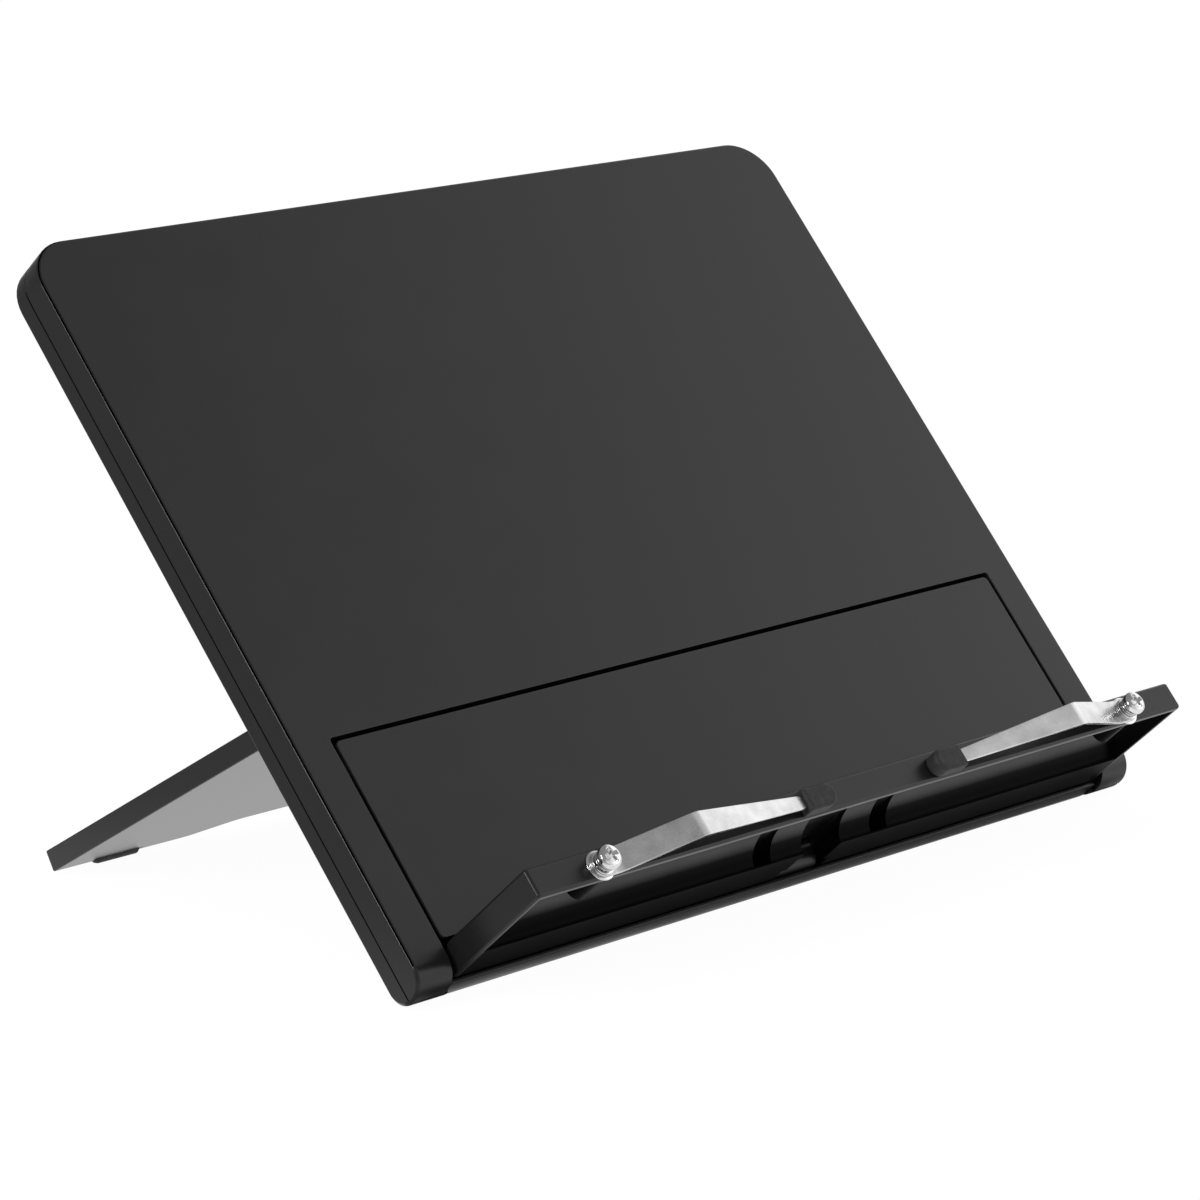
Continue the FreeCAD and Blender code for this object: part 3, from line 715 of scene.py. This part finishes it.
def bevel(mesh: Mesh, edges: list[Edge], reach: float, segments: int, slide: bool = False) -> None:
    """Rounds edges.

    Args:
        mesh: the mesh.
        edges: the edges.
        reach: how far each is cut back.
        segments: the faces of each rounding.
        slide: whether corners slide along edges that aren't rounded.
    """
    bmesh.ops.bevel(mesh, geom=edges, offset=reach, offset_type="OFFSET", segments=segments, profile=0.5,
                    affect="EDGES", clamp_overlap=False, loop_slide=slide, material=-1)


class Maker:
    """Publishes pieces: each rides on its node's body and stands for the node."""

    weld = 0.002 * MM
    flat_angle = math.radians(0.4)
    flat_weight = 80

    def __init__(self, record: dict) -> None:
        """Reads who owns which node.

        Args:
            record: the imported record.
        """
        self.body = {node: body for body, nodes in record["behaviour"]["bodies"].items() for node in nodes}
        self.slot = {part["node"]: part["material_slot"] for part in record["subparts"]}

    def dress(self, node: str, material: Material) -> None:
        """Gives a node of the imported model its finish.

        Args:
            node: the node's name.
            material: the finish.
        """
        piece = frame["nodes"][node]
        piece.data.materials.clear()
        piece.data.materials.append(material)
        LOG.info("dressed %s in %s", node, material.name)

    def publish(self, mesh: Mesh, node: str, material: Material, crease: float = 32,
                flatten: bool = False) -> bpy.types.Object:
        """Makes a piece of a mesh that is already in its place.

        Args:
            mesh: the mesh, which is freed.
            node: the node that the piece stands for.
            material: its finish.
            crease: edges sharper than this many degrees stay sharp.
            flatten: whether large faces keep their own normal.

        Returns:
            The piece.
        """
        name = f"{node}_fine"
        data = bpy.data.meshes.new(name)
        mesh.to_mesh(data)
        mesh.free()
        data.polygons.foreach_set("use_smooth", [True] * len(data.polygons))
        data.set_sharp_from_angle(angle=math.radians(crease))
        data.materials.append(material)
        piece = show(name, data)
        if flatten:
            weights = piece.modifiers.new("flat_faces", "WEIGHTED_NORMAL")
            weights.keep_sharp = True
            weights.weight = self.flat_weight
        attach(piece, self.body[node])
        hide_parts(node)
        LOG.info("made %s with %d faces", name, len(data.polygons))
        return piece

    def merged(self, node: str) -> Mesh:
        """A copy of a node's mesh with its flat faces merged.

        Args:
            node: the node's name.

        Returns:
            The mesh, in its place.
        """
        mesh = bmesh.new()
        mesh.from_mesh(frame["nodes"][node].data)
        bmesh.ops.remove_doubles(mesh, verts=mesh.verts, dist=self.weld)
        bmesh.ops.dissolve_limit(mesh, angle_limit=self.flat_angle, use_dissolve_boundaries=False,
                                 verts=mesh.verts, edges=mesh.edges)
        return mesh

    def round_corners(self, mesh: Mesh, radius: float, least: float = 22) -> None:
        """Rounds a mesh's outer corners.

        Args:
            mesh: the mesh.
            radius: how far each corner is cut back.
            least: the smallest angle in degrees that counts as a corner.
        """
        corners = [edge for edge in mesh.edges if len(edge.link_faces) == 2 and edge.is_convex
                   and edge.calc_face_angle(0) > math.radians(least)]
        bevel(mesh, corners, radius, segments=2, slide=True)
        bmesh.ops.recalc_face_normals(mesh, faces=mesh.faces)

    def softened(self, node: str, material: Material, radius: float,
                 before: Callable[[Mesh], None] | None = None,
                 after: Callable[[Mesh], None] | None = None) -> None:
        """Makes a node's own shape with the small radii that its mould leaves on every outer corner.

        Args:
            node: the node's name.
            material: its finish.
            radius: the corners' size.
            before: work on the mesh before its corners are rounded.
            after: work on it after that.
        """
        mesh = self.merged(node)
        if before:
            before(mesh)
        self.round_corners(mesh, radius)
        if after:
            after(mesh)
        self.publish(mesh, node, material, flatten=True)


@dataclass(frozen=True)
class SoftBox:
    """One lamp: where it hangs, its width and height, its power in watts and whether gloss mirrors it."""

    name: str
    place: Triple
    size: Span
    power: float
    mirrored: bool = True


@dataclass(frozen=True)
class Studio:
    """The pale floor, the soft lamps and the camera."""

    axes: BoardAxes
    aim_past_foot: Triple = (0.0, 78.09 * MM, 60.95 * MM)
    distance: float = 1.26327
    azimuth: float = math.radians(-45.4)
    elevation: float = math.radians(13.565)
    lens: float = 138.006
    sensor: float = 36.0
    clip: Span = (0.05, 50.0)
    floor_size: float = 12.0
    floor_tone: float = 0.6
    floor_roughness: float = 0.9
    floor_white: float = 1.08
    camera_share: float = 0.9
    shade_half_width: Span = (0.13, 0.16)
    shade_front: Span = (-0.071, -0.064)
    shade_back: Span = (-0.0564, -0.0558)
    shaded: float = 0.1
    bright: float = 1.05
    left_share: float = 0.42
    left_border: Span = (-0.2, -0.12)
    sky: float = 0.5
    sky_white: float = 1.0
    box_edges: Span = (0.58, 0.86)
    box_levels: Span = (0.33, 1.72)
    box_slope: Span = (-0.42, -0.26)
    box_fall: float = 0.84
    front_box: Span = (-0.5, -0.42)
    front_edges: Span = (0.2, 0.5)
    front_rise: float = 0.65
    ahead_box: Span = (-0.88, -0.7)
    ahead_rise: float = 0.5
    horizon_share: float = 0.3
    horizon_top: float = 0.2
    boxes: tuple[SoftBox, ...] = (SoftBox("side_lamp", (2.05, -0.05, 0.75), (1.3, 1.3), 13, mirrored=False),
                                  SoftBox("edge_lamp", (-1.7, 0.0, 0.95), (0.35, 1.0), 16))

    def aim(self) -> Vector:
        """The point that the middle of the photograph looks at."""
        return self.axes.foot + Vector(self.aim_past_foot)

    def build(self) -> None:
        """Builds the whole studio."""
        self.floor()
        self.backdrop()
        for box in self.boxes:
            self.lamp(box)
        self.camera()
        LOG.info("built the studio")

    def mirrored(self, sketch: FinishSketch) -> Socket:
        """How bright a reflection shows the floor: a painted shadow under the stand, paler round it, and painted
        dimmer to the left.

        Args:
            sketch: the floor's material.

        Returns:
            The brightness.
        """
        across, along, _ = sketch.parts(sketch.coordinates)
        beside = sketch.maths("ABSOLUTE", across)
        shade = sketch.product(sketch.mapped(beside, self.shade_half_width, FALLING),
                               sketch.mapped(along, self.shade_front, RISING),
                               sketch.mapped(along, self.shade_back, FALLING))
        fade = sketch.mapped(across, self.left_border, (self.left_share, 1))
        return sketch.product(sketch.mapped(shade, RISING, (self.bright, self.shaded)), fade)

    def floor(self) -> None:
        """A pale floor that keeps the shadow and looks white to the camera."""
        mesh = bmesh.new()
        bmesh.ops.create_grid(mesh, x_segments=1, y_segments=1, size=self.floor_size / 2)
        data = bpy.data.meshes.new("studio_floor")
        mesh.to_mesh(data)
        mesh.free()
        show("studio_floor", data)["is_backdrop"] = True
        sketch = FinishSketch("studio_floor")
        sketch.set(Base_Color=(*grey(self.floor_tone), 1), Roughness=self.floor_roughness,
                   Specular_IOR_Level=0.0)
        seen = sketch.add("ShaderNodeLightPath").outputs
        white, mirrored = (sketch.glow("ShaderNodeEmission", level)
                           for level in (self.floor_white, self.mirrored(sketch)))
        surface = sketch.mixed(self.camera_share, sketch.shader.outputs["BSDF"], white, seen["Is Camera Ray"])
        # Reflections see a painted floor brightness, with a painted shadow under the stand, instead of its lit
        # colour.
        surface = sketch.mixed(1.0, surface, mirrored, seen["Is Glossy Ray"])
        sketch.link(surface, sketch.output.inputs["Surface"])
        data.materials.append(sketch.material)

    def reflected(self, sketch: NodeSketch) -> Socket:
        """How bright a reflection shows the world: brighter to the right, in front and straight ahead.

        Args:
            sketch: the world's nodes.

        Returns:
            The brightness.
        """
        across, along, upward = sketch.parts(sketch.add("ShaderNodeTexCoord").outputs["Generated"])
        right = sketch.product(sketch.mapped(across, self.box_edges, self.box_levels),
                               sketch.mapped(upward, (0, self.horizon_top), (self.horizon_share, 1)),
                               sketch.mapped(along, self.box_slope, (1, self.box_fall)))
        front = sketch.product(sketch.mapped(along, self.front_box, (self.front_rise, 0)),
                               sketch.mapped(across, self.front_edges, RISING))
        ahead = sketch.mapped(along, self.ahead_box, (self.ahead_rise, 0))
        return sketch.maths("ADD", sketch.maths("ADD", right, front), ahead)

    def backdrop(self) -> None:
        """A world that lights softly, is white to the camera and shows soft boxes in reflections."""
        world = bpy.data.worlds.new("studio_world")
        sketch = NodeSketch(world)
        seen = sketch.add("ShaderNodeLightPath").outputs
        soft, white, glossy = (sketch.glow("ShaderNodeBackground", level)
                               for level in (self.sky, self.sky_white, self.reflected(sketch)))
        surface = sketch.mixed(1.0, soft, white, seen["Is Camera Ray"])
        surface = sketch.mixed(1.0, surface, glossy, seen["Is Glossy Ray"])
        sketch.link(surface, sketch.add("ShaderNodeOutputWorld").inputs["Surface"])
        bpy.context.scene.world = world

    def hang(self, data: bpy.types.Light | bpy.types.Camera, place: Vector) -> bpy.types.Object:
        """Hangs a lamp or the camera so that it faces the stand.

        Args:
            data: what hangs there.
            place: where.

        Returns:
            Its object.
        """
        hung = show(data.name, data)
        hung.location = place
        hung.rotation_mode = "QUATERNION"
        hung.rotation_quaternion = (self.aim() - place).to_track_quat("-Z", "Y")
        return hung

    def lamp(self, box: SoftBox) -> None:
        """Makes one soft box.

        Args:
            box: the lamp.
        """
        data = bpy.data.lights.new(box.name, "AREA")
        data.shape = "RECTANGLE"
        data.size, data.size_y = box.size
        data.energy = box.power
        self.hang(data, Vector(box.place)).visible_glossy = box.mirrored

    def camera(self) -> None:
        """The camera of the photograph."""
        data = bpy.data.cameras.new("photo_camera")
        data.lens = self.lens
        data.sensor_width = self.sensor
        data.sensor_fit = "HORIZONTAL"
        data.clip_start, data.clip_end = self.clip
        level = math.cos(self.elevation)
        back = Vector((math.sin(self.azimuth) * level, -math.cos(self.azimuth) * level,
                       math.sin(self.elevation)))
        bpy.context.scene.camera = self.hang(data, self.aim() + back * self.distance)


@dataclass(frozen=True)
class ArmPivot:
    """The sprung pivot of one page arm: ring, washer, coil spring and domed screw."""

    maker: Maker
    side: Side
    place: Matrix
    out: Vector
    metal: Material
    wire: Material
    shank: float = 1.25 * MM
    grip: float = 8.5 * MM
    tip: float = 0.5 * MM
    tip_share: float = 0.6
    thread_depth: float = 0.22 * MM
    thread_pitch: float = 0.55 * MM
    thread_turns: int = 7
    head_radius: float = 3.3 * MM
    head_low: float = 4.0 * MM
    head_side: float = 0.75 * MM
    head_top: float = 6.1 * MM
    head_edge: float = 0.15 * MM
    dome_power: float = 2.4
    dome_rings: int = 30
    head_steps: int = 96
    cross_turn: float = math.radians(10)
    cross_width: float = 0.62 * MM
    cross_wall: float = 0.25 * MM
    cross_reach: float = 2.15 * MM
    cross_end: float = 1.1 * MM
    cross_depth: float = 1.25 * MM
    ring_radius: float = 4.15 * MM
    ring_top: float = 0.4 * MM
    ring_edge: float = 0.12 * MM
    ring_steps: int = 72
    washer_radius: float = 3.3 * MM
    washer_gap: float = 0.05 * MM
    washer_low: float = 1.4 * MM
    washer_top: float = 1.8 * MM
    washer_edge: float = 0.1 * MM
    washer_steps: int = 64
    coil_radius: float = 2.7 * MM
    wire_radius: float = 0.3 * MM
    wire_sides: int = 12
    coil_low: float = 1.85 * MM
    coil_top: float = 3.95 * MM
    coil_turns: int = 2
    turn_steps: int = 40
    lift: float = 0.8 * MM

    def build(self) -> None:
        """Builds the four pieces."""
        self.screw()
        self.ring()
        self.washer()
        self.spring()

    def settle(self, mesh: Mesh, node: str, material: Material, crease: float = 60) -> bpy.types.Object:
        """Moves a mesh from the pivot's own axes to the stand and publishes it.

        Args:
            mesh: the mesh.
            node: the node it stands for, without the side.
            material: its finish.
            crease: edges sharper than this many degrees stay sharp.

        Returns:
            The piece.
        """
        mesh.transform(self.place)
        return self.maker.publish(mesh, f"{node}_{self.side.value}", material, crease=crease)

    def dome(self, radius: float) -> float:
        """How high the head's top is.

        Args:
            radius: the distance from the screw's axis.

        Returns:
            The height.
        """
        share = min(1.0, radius / self.head_radius)
        rise = self.head_top - self.head_low - self.head_side
        return self.head_low + self.head_side + rise * (1 - share ** self.dome_power) ** (1 / self.dome_power)

    def recess(self, across: float, along: float) -> float:
        """How deep the cross recess is at a point of the head.

        Args:
            across: the point's distance from the middle along one bar.
            along: and along the other.

        Returns:
            The depth.
        """
        depth = 0.0
        for lateral, length in ((abs(across), abs(along)), (abs(along), abs(across))):
            wall = (self.cross_width - lateral) / self.cross_wall
            end = (self.cross_reach - length) / self.cross_end
            depth = max(depth, self.cross_depth * max(0.0, min(1.0, wall, end)))
        return depth

    def screw(self) -> None:
        """A domed head with a cross recess, over a threaded shank."""
        profile = [(0.0, -self.grip), (self.shank * self.tip_share, -self.grip),
                   (self.shank, self.tip - self.grip)]
        for turn in reversed(range(self.thread_turns)):
            crest = self.head_low - (turn + 0.5) * self.thread_pitch
            profile += [(self.shank - self.thread_depth, crest - self.thread_pitch / 2), (self.shank, crest)]
        profile += [(self.shank, self.head_low), (self.head_radius - self.head_edge, self.head_low),
                    (self.head_radius, self.head_low + self.head_edge)]
        for ring in range(self.dome_rings + 1):
            radius = self.head_radius * (1 - ring / self.dome_rings)
            profile.append((radius, self.dome(radius)))
        mesh = lathe(profile, self.head_steps)
        turned = Matrix.Rotation(-self.cross_turn, 3, "Z")
        for vertex in mesh.verts:
            if vertex.co.z > self.head_low + self.head_side:
                point = turned @ vertex.co
                vertex.co.z -= self.recess(point.x, point.y)
        self.settle(mesh, "arm_screw", self.metal, crease=40)

    def ring(self) -> None:
        """The ring that the arm turns on."""
        mesh = disc(self.ring_radius, self.shank, 0.0, self.ring_top, self.ring_edge, self.ring_steps)
        self.settle(mesh, "pivot_ring", self.metal)

    def washer(self) -> None:
        """The washer between the arm and the spring."""
        bore = self.shank + self.washer_gap
        mesh = disc(self.washer_radius, bore, self.washer_low, self.washer_top, self.washer_edge,
                    self.washer_steps)
        self.settle(mesh, "arm_washer", self.metal)

    def spring(self) -> None:
        """The coil of round wire under the head, built as it is at rest."""
        mesh = bmesh.new()
        start = Matrix.Translation((self.coil_radius, 0, self.coil_low + self.wire_radius))
        bmesh.ops.create_circle(mesh, cap_ends=True, segments=self.wire_sides, radius=self.wire_radius,
                                matrix=start @ Matrix.Rotation(math.pi / 2, 4, "X"))
        rise = self.coil_top - self.coil_low - 2 * self.wire_radius
        steps = self.turn_steps * self.coil_turns
        bmesh.ops.spin(mesh, geom=list(mesh.faces), cent=(0, 0, 0), axis=(0, 0, 1), dvec=(0, 0, rise / steps),
                       angle=math.tau * self.coil_turns, steps=steps)
        bmesh.ops.recalc_face_normals(mesh, faces=mesh.faces)
        piece = self.settle(mesh, "arm_spring", self.wire)
        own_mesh(piece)


@dataclass(frozen=True)
class PageArm:
    """One bent steel strip and the rubber shoe on its end."""

    maker: Maker
    side: Side
    place: Matrix
    steel: Material
    rubber: Material
    bends: Span = (4.6 * MM, 28.8 * MM)
    bend_reach: float = 1.5 * MM
    bend_segments: int = 6
    near: float = 0.05 * MM
    level: float = 0.02 * MM
    edge: float = 0.22 * MM
    least_corner: float = 35
    shoe_edge: float = 0.32 * MM

    def build(self) -> None:
        """Builds the strip and the shoe."""
        node = f"page_arm_{self.side.value}"
        mesh = self.maker.merged(node)
        self.round_bends(mesh)
        self.maker.round_corners(mesh, self.edge, self.least_corner)
        self.maker.publish(mesh, node, self.steel, flatten=True)
        self.maker.softened(f"arm_tip_{self.side.value}", self.rubber, self.shoe_edge)

    def round_bends(self, mesh: Mesh) -> None:
        """Gives the strip's two bends their radius.

        Args:
            mesh: the strip, in its place.
        """
        to_arm = self.place.inverted()
        lines = []
        for edge in mesh.edges:
            first, last = (to_arm @ vertex.co for vertex in edge.verts)
            straight = abs(first.x - last.x) < self.level and abs(first.z - last.z) < self.level
            if straight and any(abs(first.x - bend) < self.near for bend in self.bends):
                lines.append(edge)
        LOG.info("%d bend lines on the %s arm", len(lines), self.side.value)
        bevel(mesh, lines, self.bend_reach, self.bend_segments)


@dataclass(frozen=True)
class LeafSpring:
    """One bowed leaf spring under the window's floor panel."""

    maker: Maker
    side: Side
    axes: BoardAxes
    steel: Material
    place: float = 62 * MM
    height: float = 40 * MM
    low: float = -12.15 * MM
    reach: float = 26 * MM
    half_width: float = 4.5 * MM
    bow: float = 10.6 * MM
    thickness: float = 0.4 * MM
    steps: int = 40
    left_when_flat: float = 0.02

    def build(self) -> None:
        """Builds the strip flat, bows it and lays it behind the panel."""
        mesh = bmesh.new()
        bmesh.ops.create_grid(mesh, x_segments=self.steps, y_segments=1, size=1)
        bmesh.ops.scale(mesh, vec=(self.reach, self.half_width, 1), verts=mesh.verts)
        draw_out(mesh, list(mesh.faces), Vector((0, 0, self.thickness)))
        for vertex in mesh.verts:
            vertex.co.z += self.bow * (1 - (vertex.co.x / self.reach) ** 2)
        mesh.transform(self.axes.matrix(self.side.sign * self.place, self.height, self.low))
        piece = self.maker.publish(mesh, f"lift_spring_{self.side.value}", self.steel)
        anchor = self.axes.matrix(0, self.height, self.low).to_translation()
        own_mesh(piece)


@dataclass(frozen=True)
class ShellGaps:
    """The shells' fine forms: a gap round the face, one along the parting line, and the window's corners."""

    axes: BoardAxes
    half_width: float
    height: float
    window: Span
    window_corner: float = 1.0 * MM
    corner_segments: int = 5
    near: float = 0.3 * MM
    straight: float = 0.01 * MM
    chamfer: float = 0.7 * MM
    chamfer_slant: float = math.sqrt(0.5)
    slant_slack: float = 0.05
    nose: float = 6.76 * MM
    seam: float = 7.6 * MM
    seam_inset: float = 0.4 * MM
    seam_slants: Span = (0.1, 0.99)
    lip: float = 0.03 * MM
    depth: float = 1.7 * MM
    seam_depth: float = 0.5 * MM

    def round_window(self, mesh: Mesh) -> None:
        """Rounds the window's two upper corners.

        Args:
            mesh: the front shell, before its corners are rounded.
        """
        edges = []
        for edge in mesh.edges:
            first, last = (self.axes.split(vertex.co) for vertex in edge.verts)
            upright = (first - last).xy.length < self.straight
            if upright and len(edge.link_faces) == 2 and not edge.is_convex and self.in_window(first):
                edges.append(edge)
        LOG.info("%d window corners", len(edges))
        bevel(mesh, edges, self.window_corner, self.corner_segments)

    def in_window(self, place: Vector) -> bool:
        """Whether a place lies at one of the window's upper corners."""
        across, up = self.window
        return abs(abs(place.x) - across) < self.near and abs(place.y - up) < self.near

    def cut_rim(self, mesh: Mesh) -> None:
        """Sinks the flat of the chamfer round the face.

        Args:
            mesh: the front shell, with rounded corners.
        """
        faces = []
        for face in mesh.faces:
            place = self.axes.split(face.calc_center_median())
            slanted = abs(face.normal.dot(self.axes.out) - self.chamfer_slant) < self.slant_slack
            if slanted and -self.chamfer < place.z < 0 and place.y > self.nose:
                faces.append(face)
        self.sink(mesh, faces, self.depth)

    def cut_seam(self, mesh: Mesh) -> None:
        """Sinks a shell's rounded edge along the parting line.

        Args:
            mesh: one of the two shells, with rounded corners.
        """
        least, most = self.seam_slants
        faces = []
        for face in mesh.faces:
            place = self.axes.split(face.calc_center_median())
            past_edge = max(abs(place.x) - self.half_width, place.y - self.height, -place.y)
            slanted = least < abs(face.normal.dot(self.axes.out)) < most
            if slanted and past_edge > -self.seam_inset and abs(place.z + self.seam) < self.near:
                faces.append(face)
        self.sink(mesh, faces, self.seam_depth)

    def cut_both(self, mesh: Mesh) -> None:
        """The front shell's two gaps."""
        self.cut_rim(mesh)
        self.cut_seam(mesh)

    def sink(self, mesh: Mesh, faces: list[Face], depth: float) -> None:
        """Sinks a strip of faces and leaves a sharp lip on both sides.

        Args:
            mesh: the shell.
            faces: the strip.
            depth: how deep it goes.
        """
        LOG.info("sinks %d faces", len(faces))
        bmesh.ops.inset_region(mesh, faces=faces, thickness=self.lip, depth=-depth, use_boundary=True,
                               use_even_offset=True)


@dataclass(frozen=True)
class Cove:
    """The smooth sweep between the roof of the ledge's channel and its base."""

    axes: BoardAxes
    half_width: float
    notch_side: float = 7.15 * MM
    slot_start: float = 19.9 * MM
    slot_end: float = 26.0 * MM
    clear: float = 0.3 * MM
    base: float = 8.5 * MM
    front: float = 20.0 * MM
    roof: float = 8.5 * MM
    low: float = 2.35 * MM
    buried: float = 0.5 * MM
    steps: int = 20

    def fill(self, mesh: Mesh) -> None:
        """Adds the sweep between the slots, the notch and the end walls.

        Args:
            mesh: the ledge.
        """
        for start, end in ((self.notch_side + self.clear, self.slot_start - self.clear),
                           (self.slot_end + self.clear, self.half_width + self.clear)):
            for sign in (-1, 1):
                self.prism(mesh, sign * start, sign * end)

    def prism(self, mesh: Mesh, start: float, end: float) -> None:
        """Adds one closed length of the sweep, sunk a little into the roof and the base.

        Args:
            mesh: the ledge.
            start: where it starts across the ledge.
            end: where it ends.
        """
        outline = [(self.roof + self.buried, self.front), (self.roof + self.buried, self.base - self.buried),
                   (self.low, self.base - self.buried)]
        for step in range(self.steps + 1):
            angle = math.pi / 2 * step / self.steps
            outline.append((self.low + (self.roof - self.low) * math.sin(angle),
                            self.base + (self.front - self.base) * (1 - math.cos(angle))))
        place = self.axes.matrix(across=start)
        section = mesh.faces.new([mesh.verts.new(place @ Vector((0, up, out))) for up, out in outline])
        draw_out(mesh, [section], Vector((end - start, 0, 0)))


@dataclass(frozen=True)
class Stand:
    """The whole stand: shells, ledge, leg, arms, springs and fasteners."""

    maker: Maker
    axes: BoardAxes
    pivot_across: float = 103.3 * MM
    pivot_up: float = 5.5 * MM
    pivot_out: float = 36.8 * MM
    board_height: float = 225 * MM
    window_gap: float = 1.2 * MM
    ledge_end_wall: float = 1.5 * MM
    mould_edge: float = 0.25 * MM
    leg_edge: float = 0.45 * MM
    bead_edge: float = 0.35 * MM

    def build(self) -> None:
        """Builds every piece in order."""
        self.mouldings()
        self.fasteners()
        self.sides()

    def mouldings(self) -> None:
        """The five plastic mouldings with their softened corners."""
        board_half = self.half_width("front_shell")
        channel_half = self.half_width("ledge_shell") - self.ledge_end_wall
        # The gaps beside the face and the channel under the ledge get painted shade.
        rim, channel = PaintedShade.rim(self.axes, board_half), PaintedShade.channel(self.axes, channel_half)
        shell = MouldedPlastic("black_shell_plastic", shade=rim).material()
        panel = MouldedPlastic("black_panel_plastic").material()
        ledge = MouldedPlastic("black_ledge_plastic", shade=channel).material()
        leg = MouldedPlastic("black_leg_plastic", tone=0.012, roughness=0.27, gloss=0.44,
                             unevenness=0.0, grain=0.0).material()
        gaps = ShellGaps(self.axes, board_half, self.board_height, self.window_corner())
        soften = self.maker.softened
        soften("front_shell", shell, self.mould_edge, before=gaps.round_window, after=gaps.cut_both)
        soften("back_shell", shell, self.mould_edge, after=gaps.cut_seam)
        soften("floor_panel", panel, self.mould_edge)
        soften("ledge_shell", ledge, self.mould_edge, after=Cove(self.axes, channel_half).fill)
        soften("leg_panel", leg, self.leg_edge)

    def window_corner(self) -> Span:
        """Finds the window's upper corners from the panel and the gap round it.

        Returns:
            How far they lie across and up the board.
        """
        corners = [self.axes.split(vertex.co) for vertex in frame["nodes"]["floor_panel"].data.vertices]
        across, up = (max(place[axis.value] for place in corners) for axis in (Axis.ACROSS, Axis.UP))
        return across + self.window_gap, up + self.window_gap

    def half_width(self, node: str) -> float:
        """Half of a node's width."""
        return max(abs(vertex.co.x) for vertex in frame["nodes"][node].data.vertices)

    def fasteners(self) -> None:
        """Screws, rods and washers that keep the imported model's own shape."""
        dark = PlatedSteel("zinc_screw_steel", tone=0.5, roughness=0.32).material()
        for node in ("case_screws", "ledge_hinge_rod", "leg_hinge_rod"):
            self.maker.dress(node, dark)
        self.maker.dress("leg_thrust_washers", Nylon().material())

    def sides(self) -> None:
        """What comes once on each side."""
        steel = PlatedSteel("plated_arm_steel").material()
        metal = PlatedSteel("bright_screw_steel", tone=0.74, roughness=0.11, scuffs=0.2).material()
        wire = PlatedSteel("spring_wire_steel", tone=0.5, roughness=0.13, scuffs=0.1).material()
        rubber = Rubber("black_rubber").material()
        for side in Side:
            turn = math.pi if side is Side.RIGHT else 0.0
            place = self.axes.matrix(side.sign * self.pivot_across, self.pivot_up, self.pivot_out, turn)
            ArmPivot(self.maker, side, place, self.axes.out, metal, wire).build()
            PageArm(self.maker, side, place, steel, rubber).build()
            LeafSpring(self.maker, side, self.axes, wire).build()
            for foot in ("front_foot", "leg_foot"):
                self.maker.softened(f"{foot}_{side.value}", rubber, self.bead_edge)


def corners() -> list[list[float]]:
    """The lowest and highest corner of what is shown, as plain lists."""
    return [list(corner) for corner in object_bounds()]


def main() -> None:
    """Builds the studio and the stand."""
    logging.basicConfig(level=logging.INFO)
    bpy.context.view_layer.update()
    joints = {joint["name"]: joint for joint in frame["joints"]}
    axes = BoardAxes.from_joints(joints)
    bpy.context.scene.view_settings.view_transform = "Standard"
    Studio(axes).build()
    Stand(Maker(frame["record"]), axes).build()


if __name__ == "__main__":
    main()
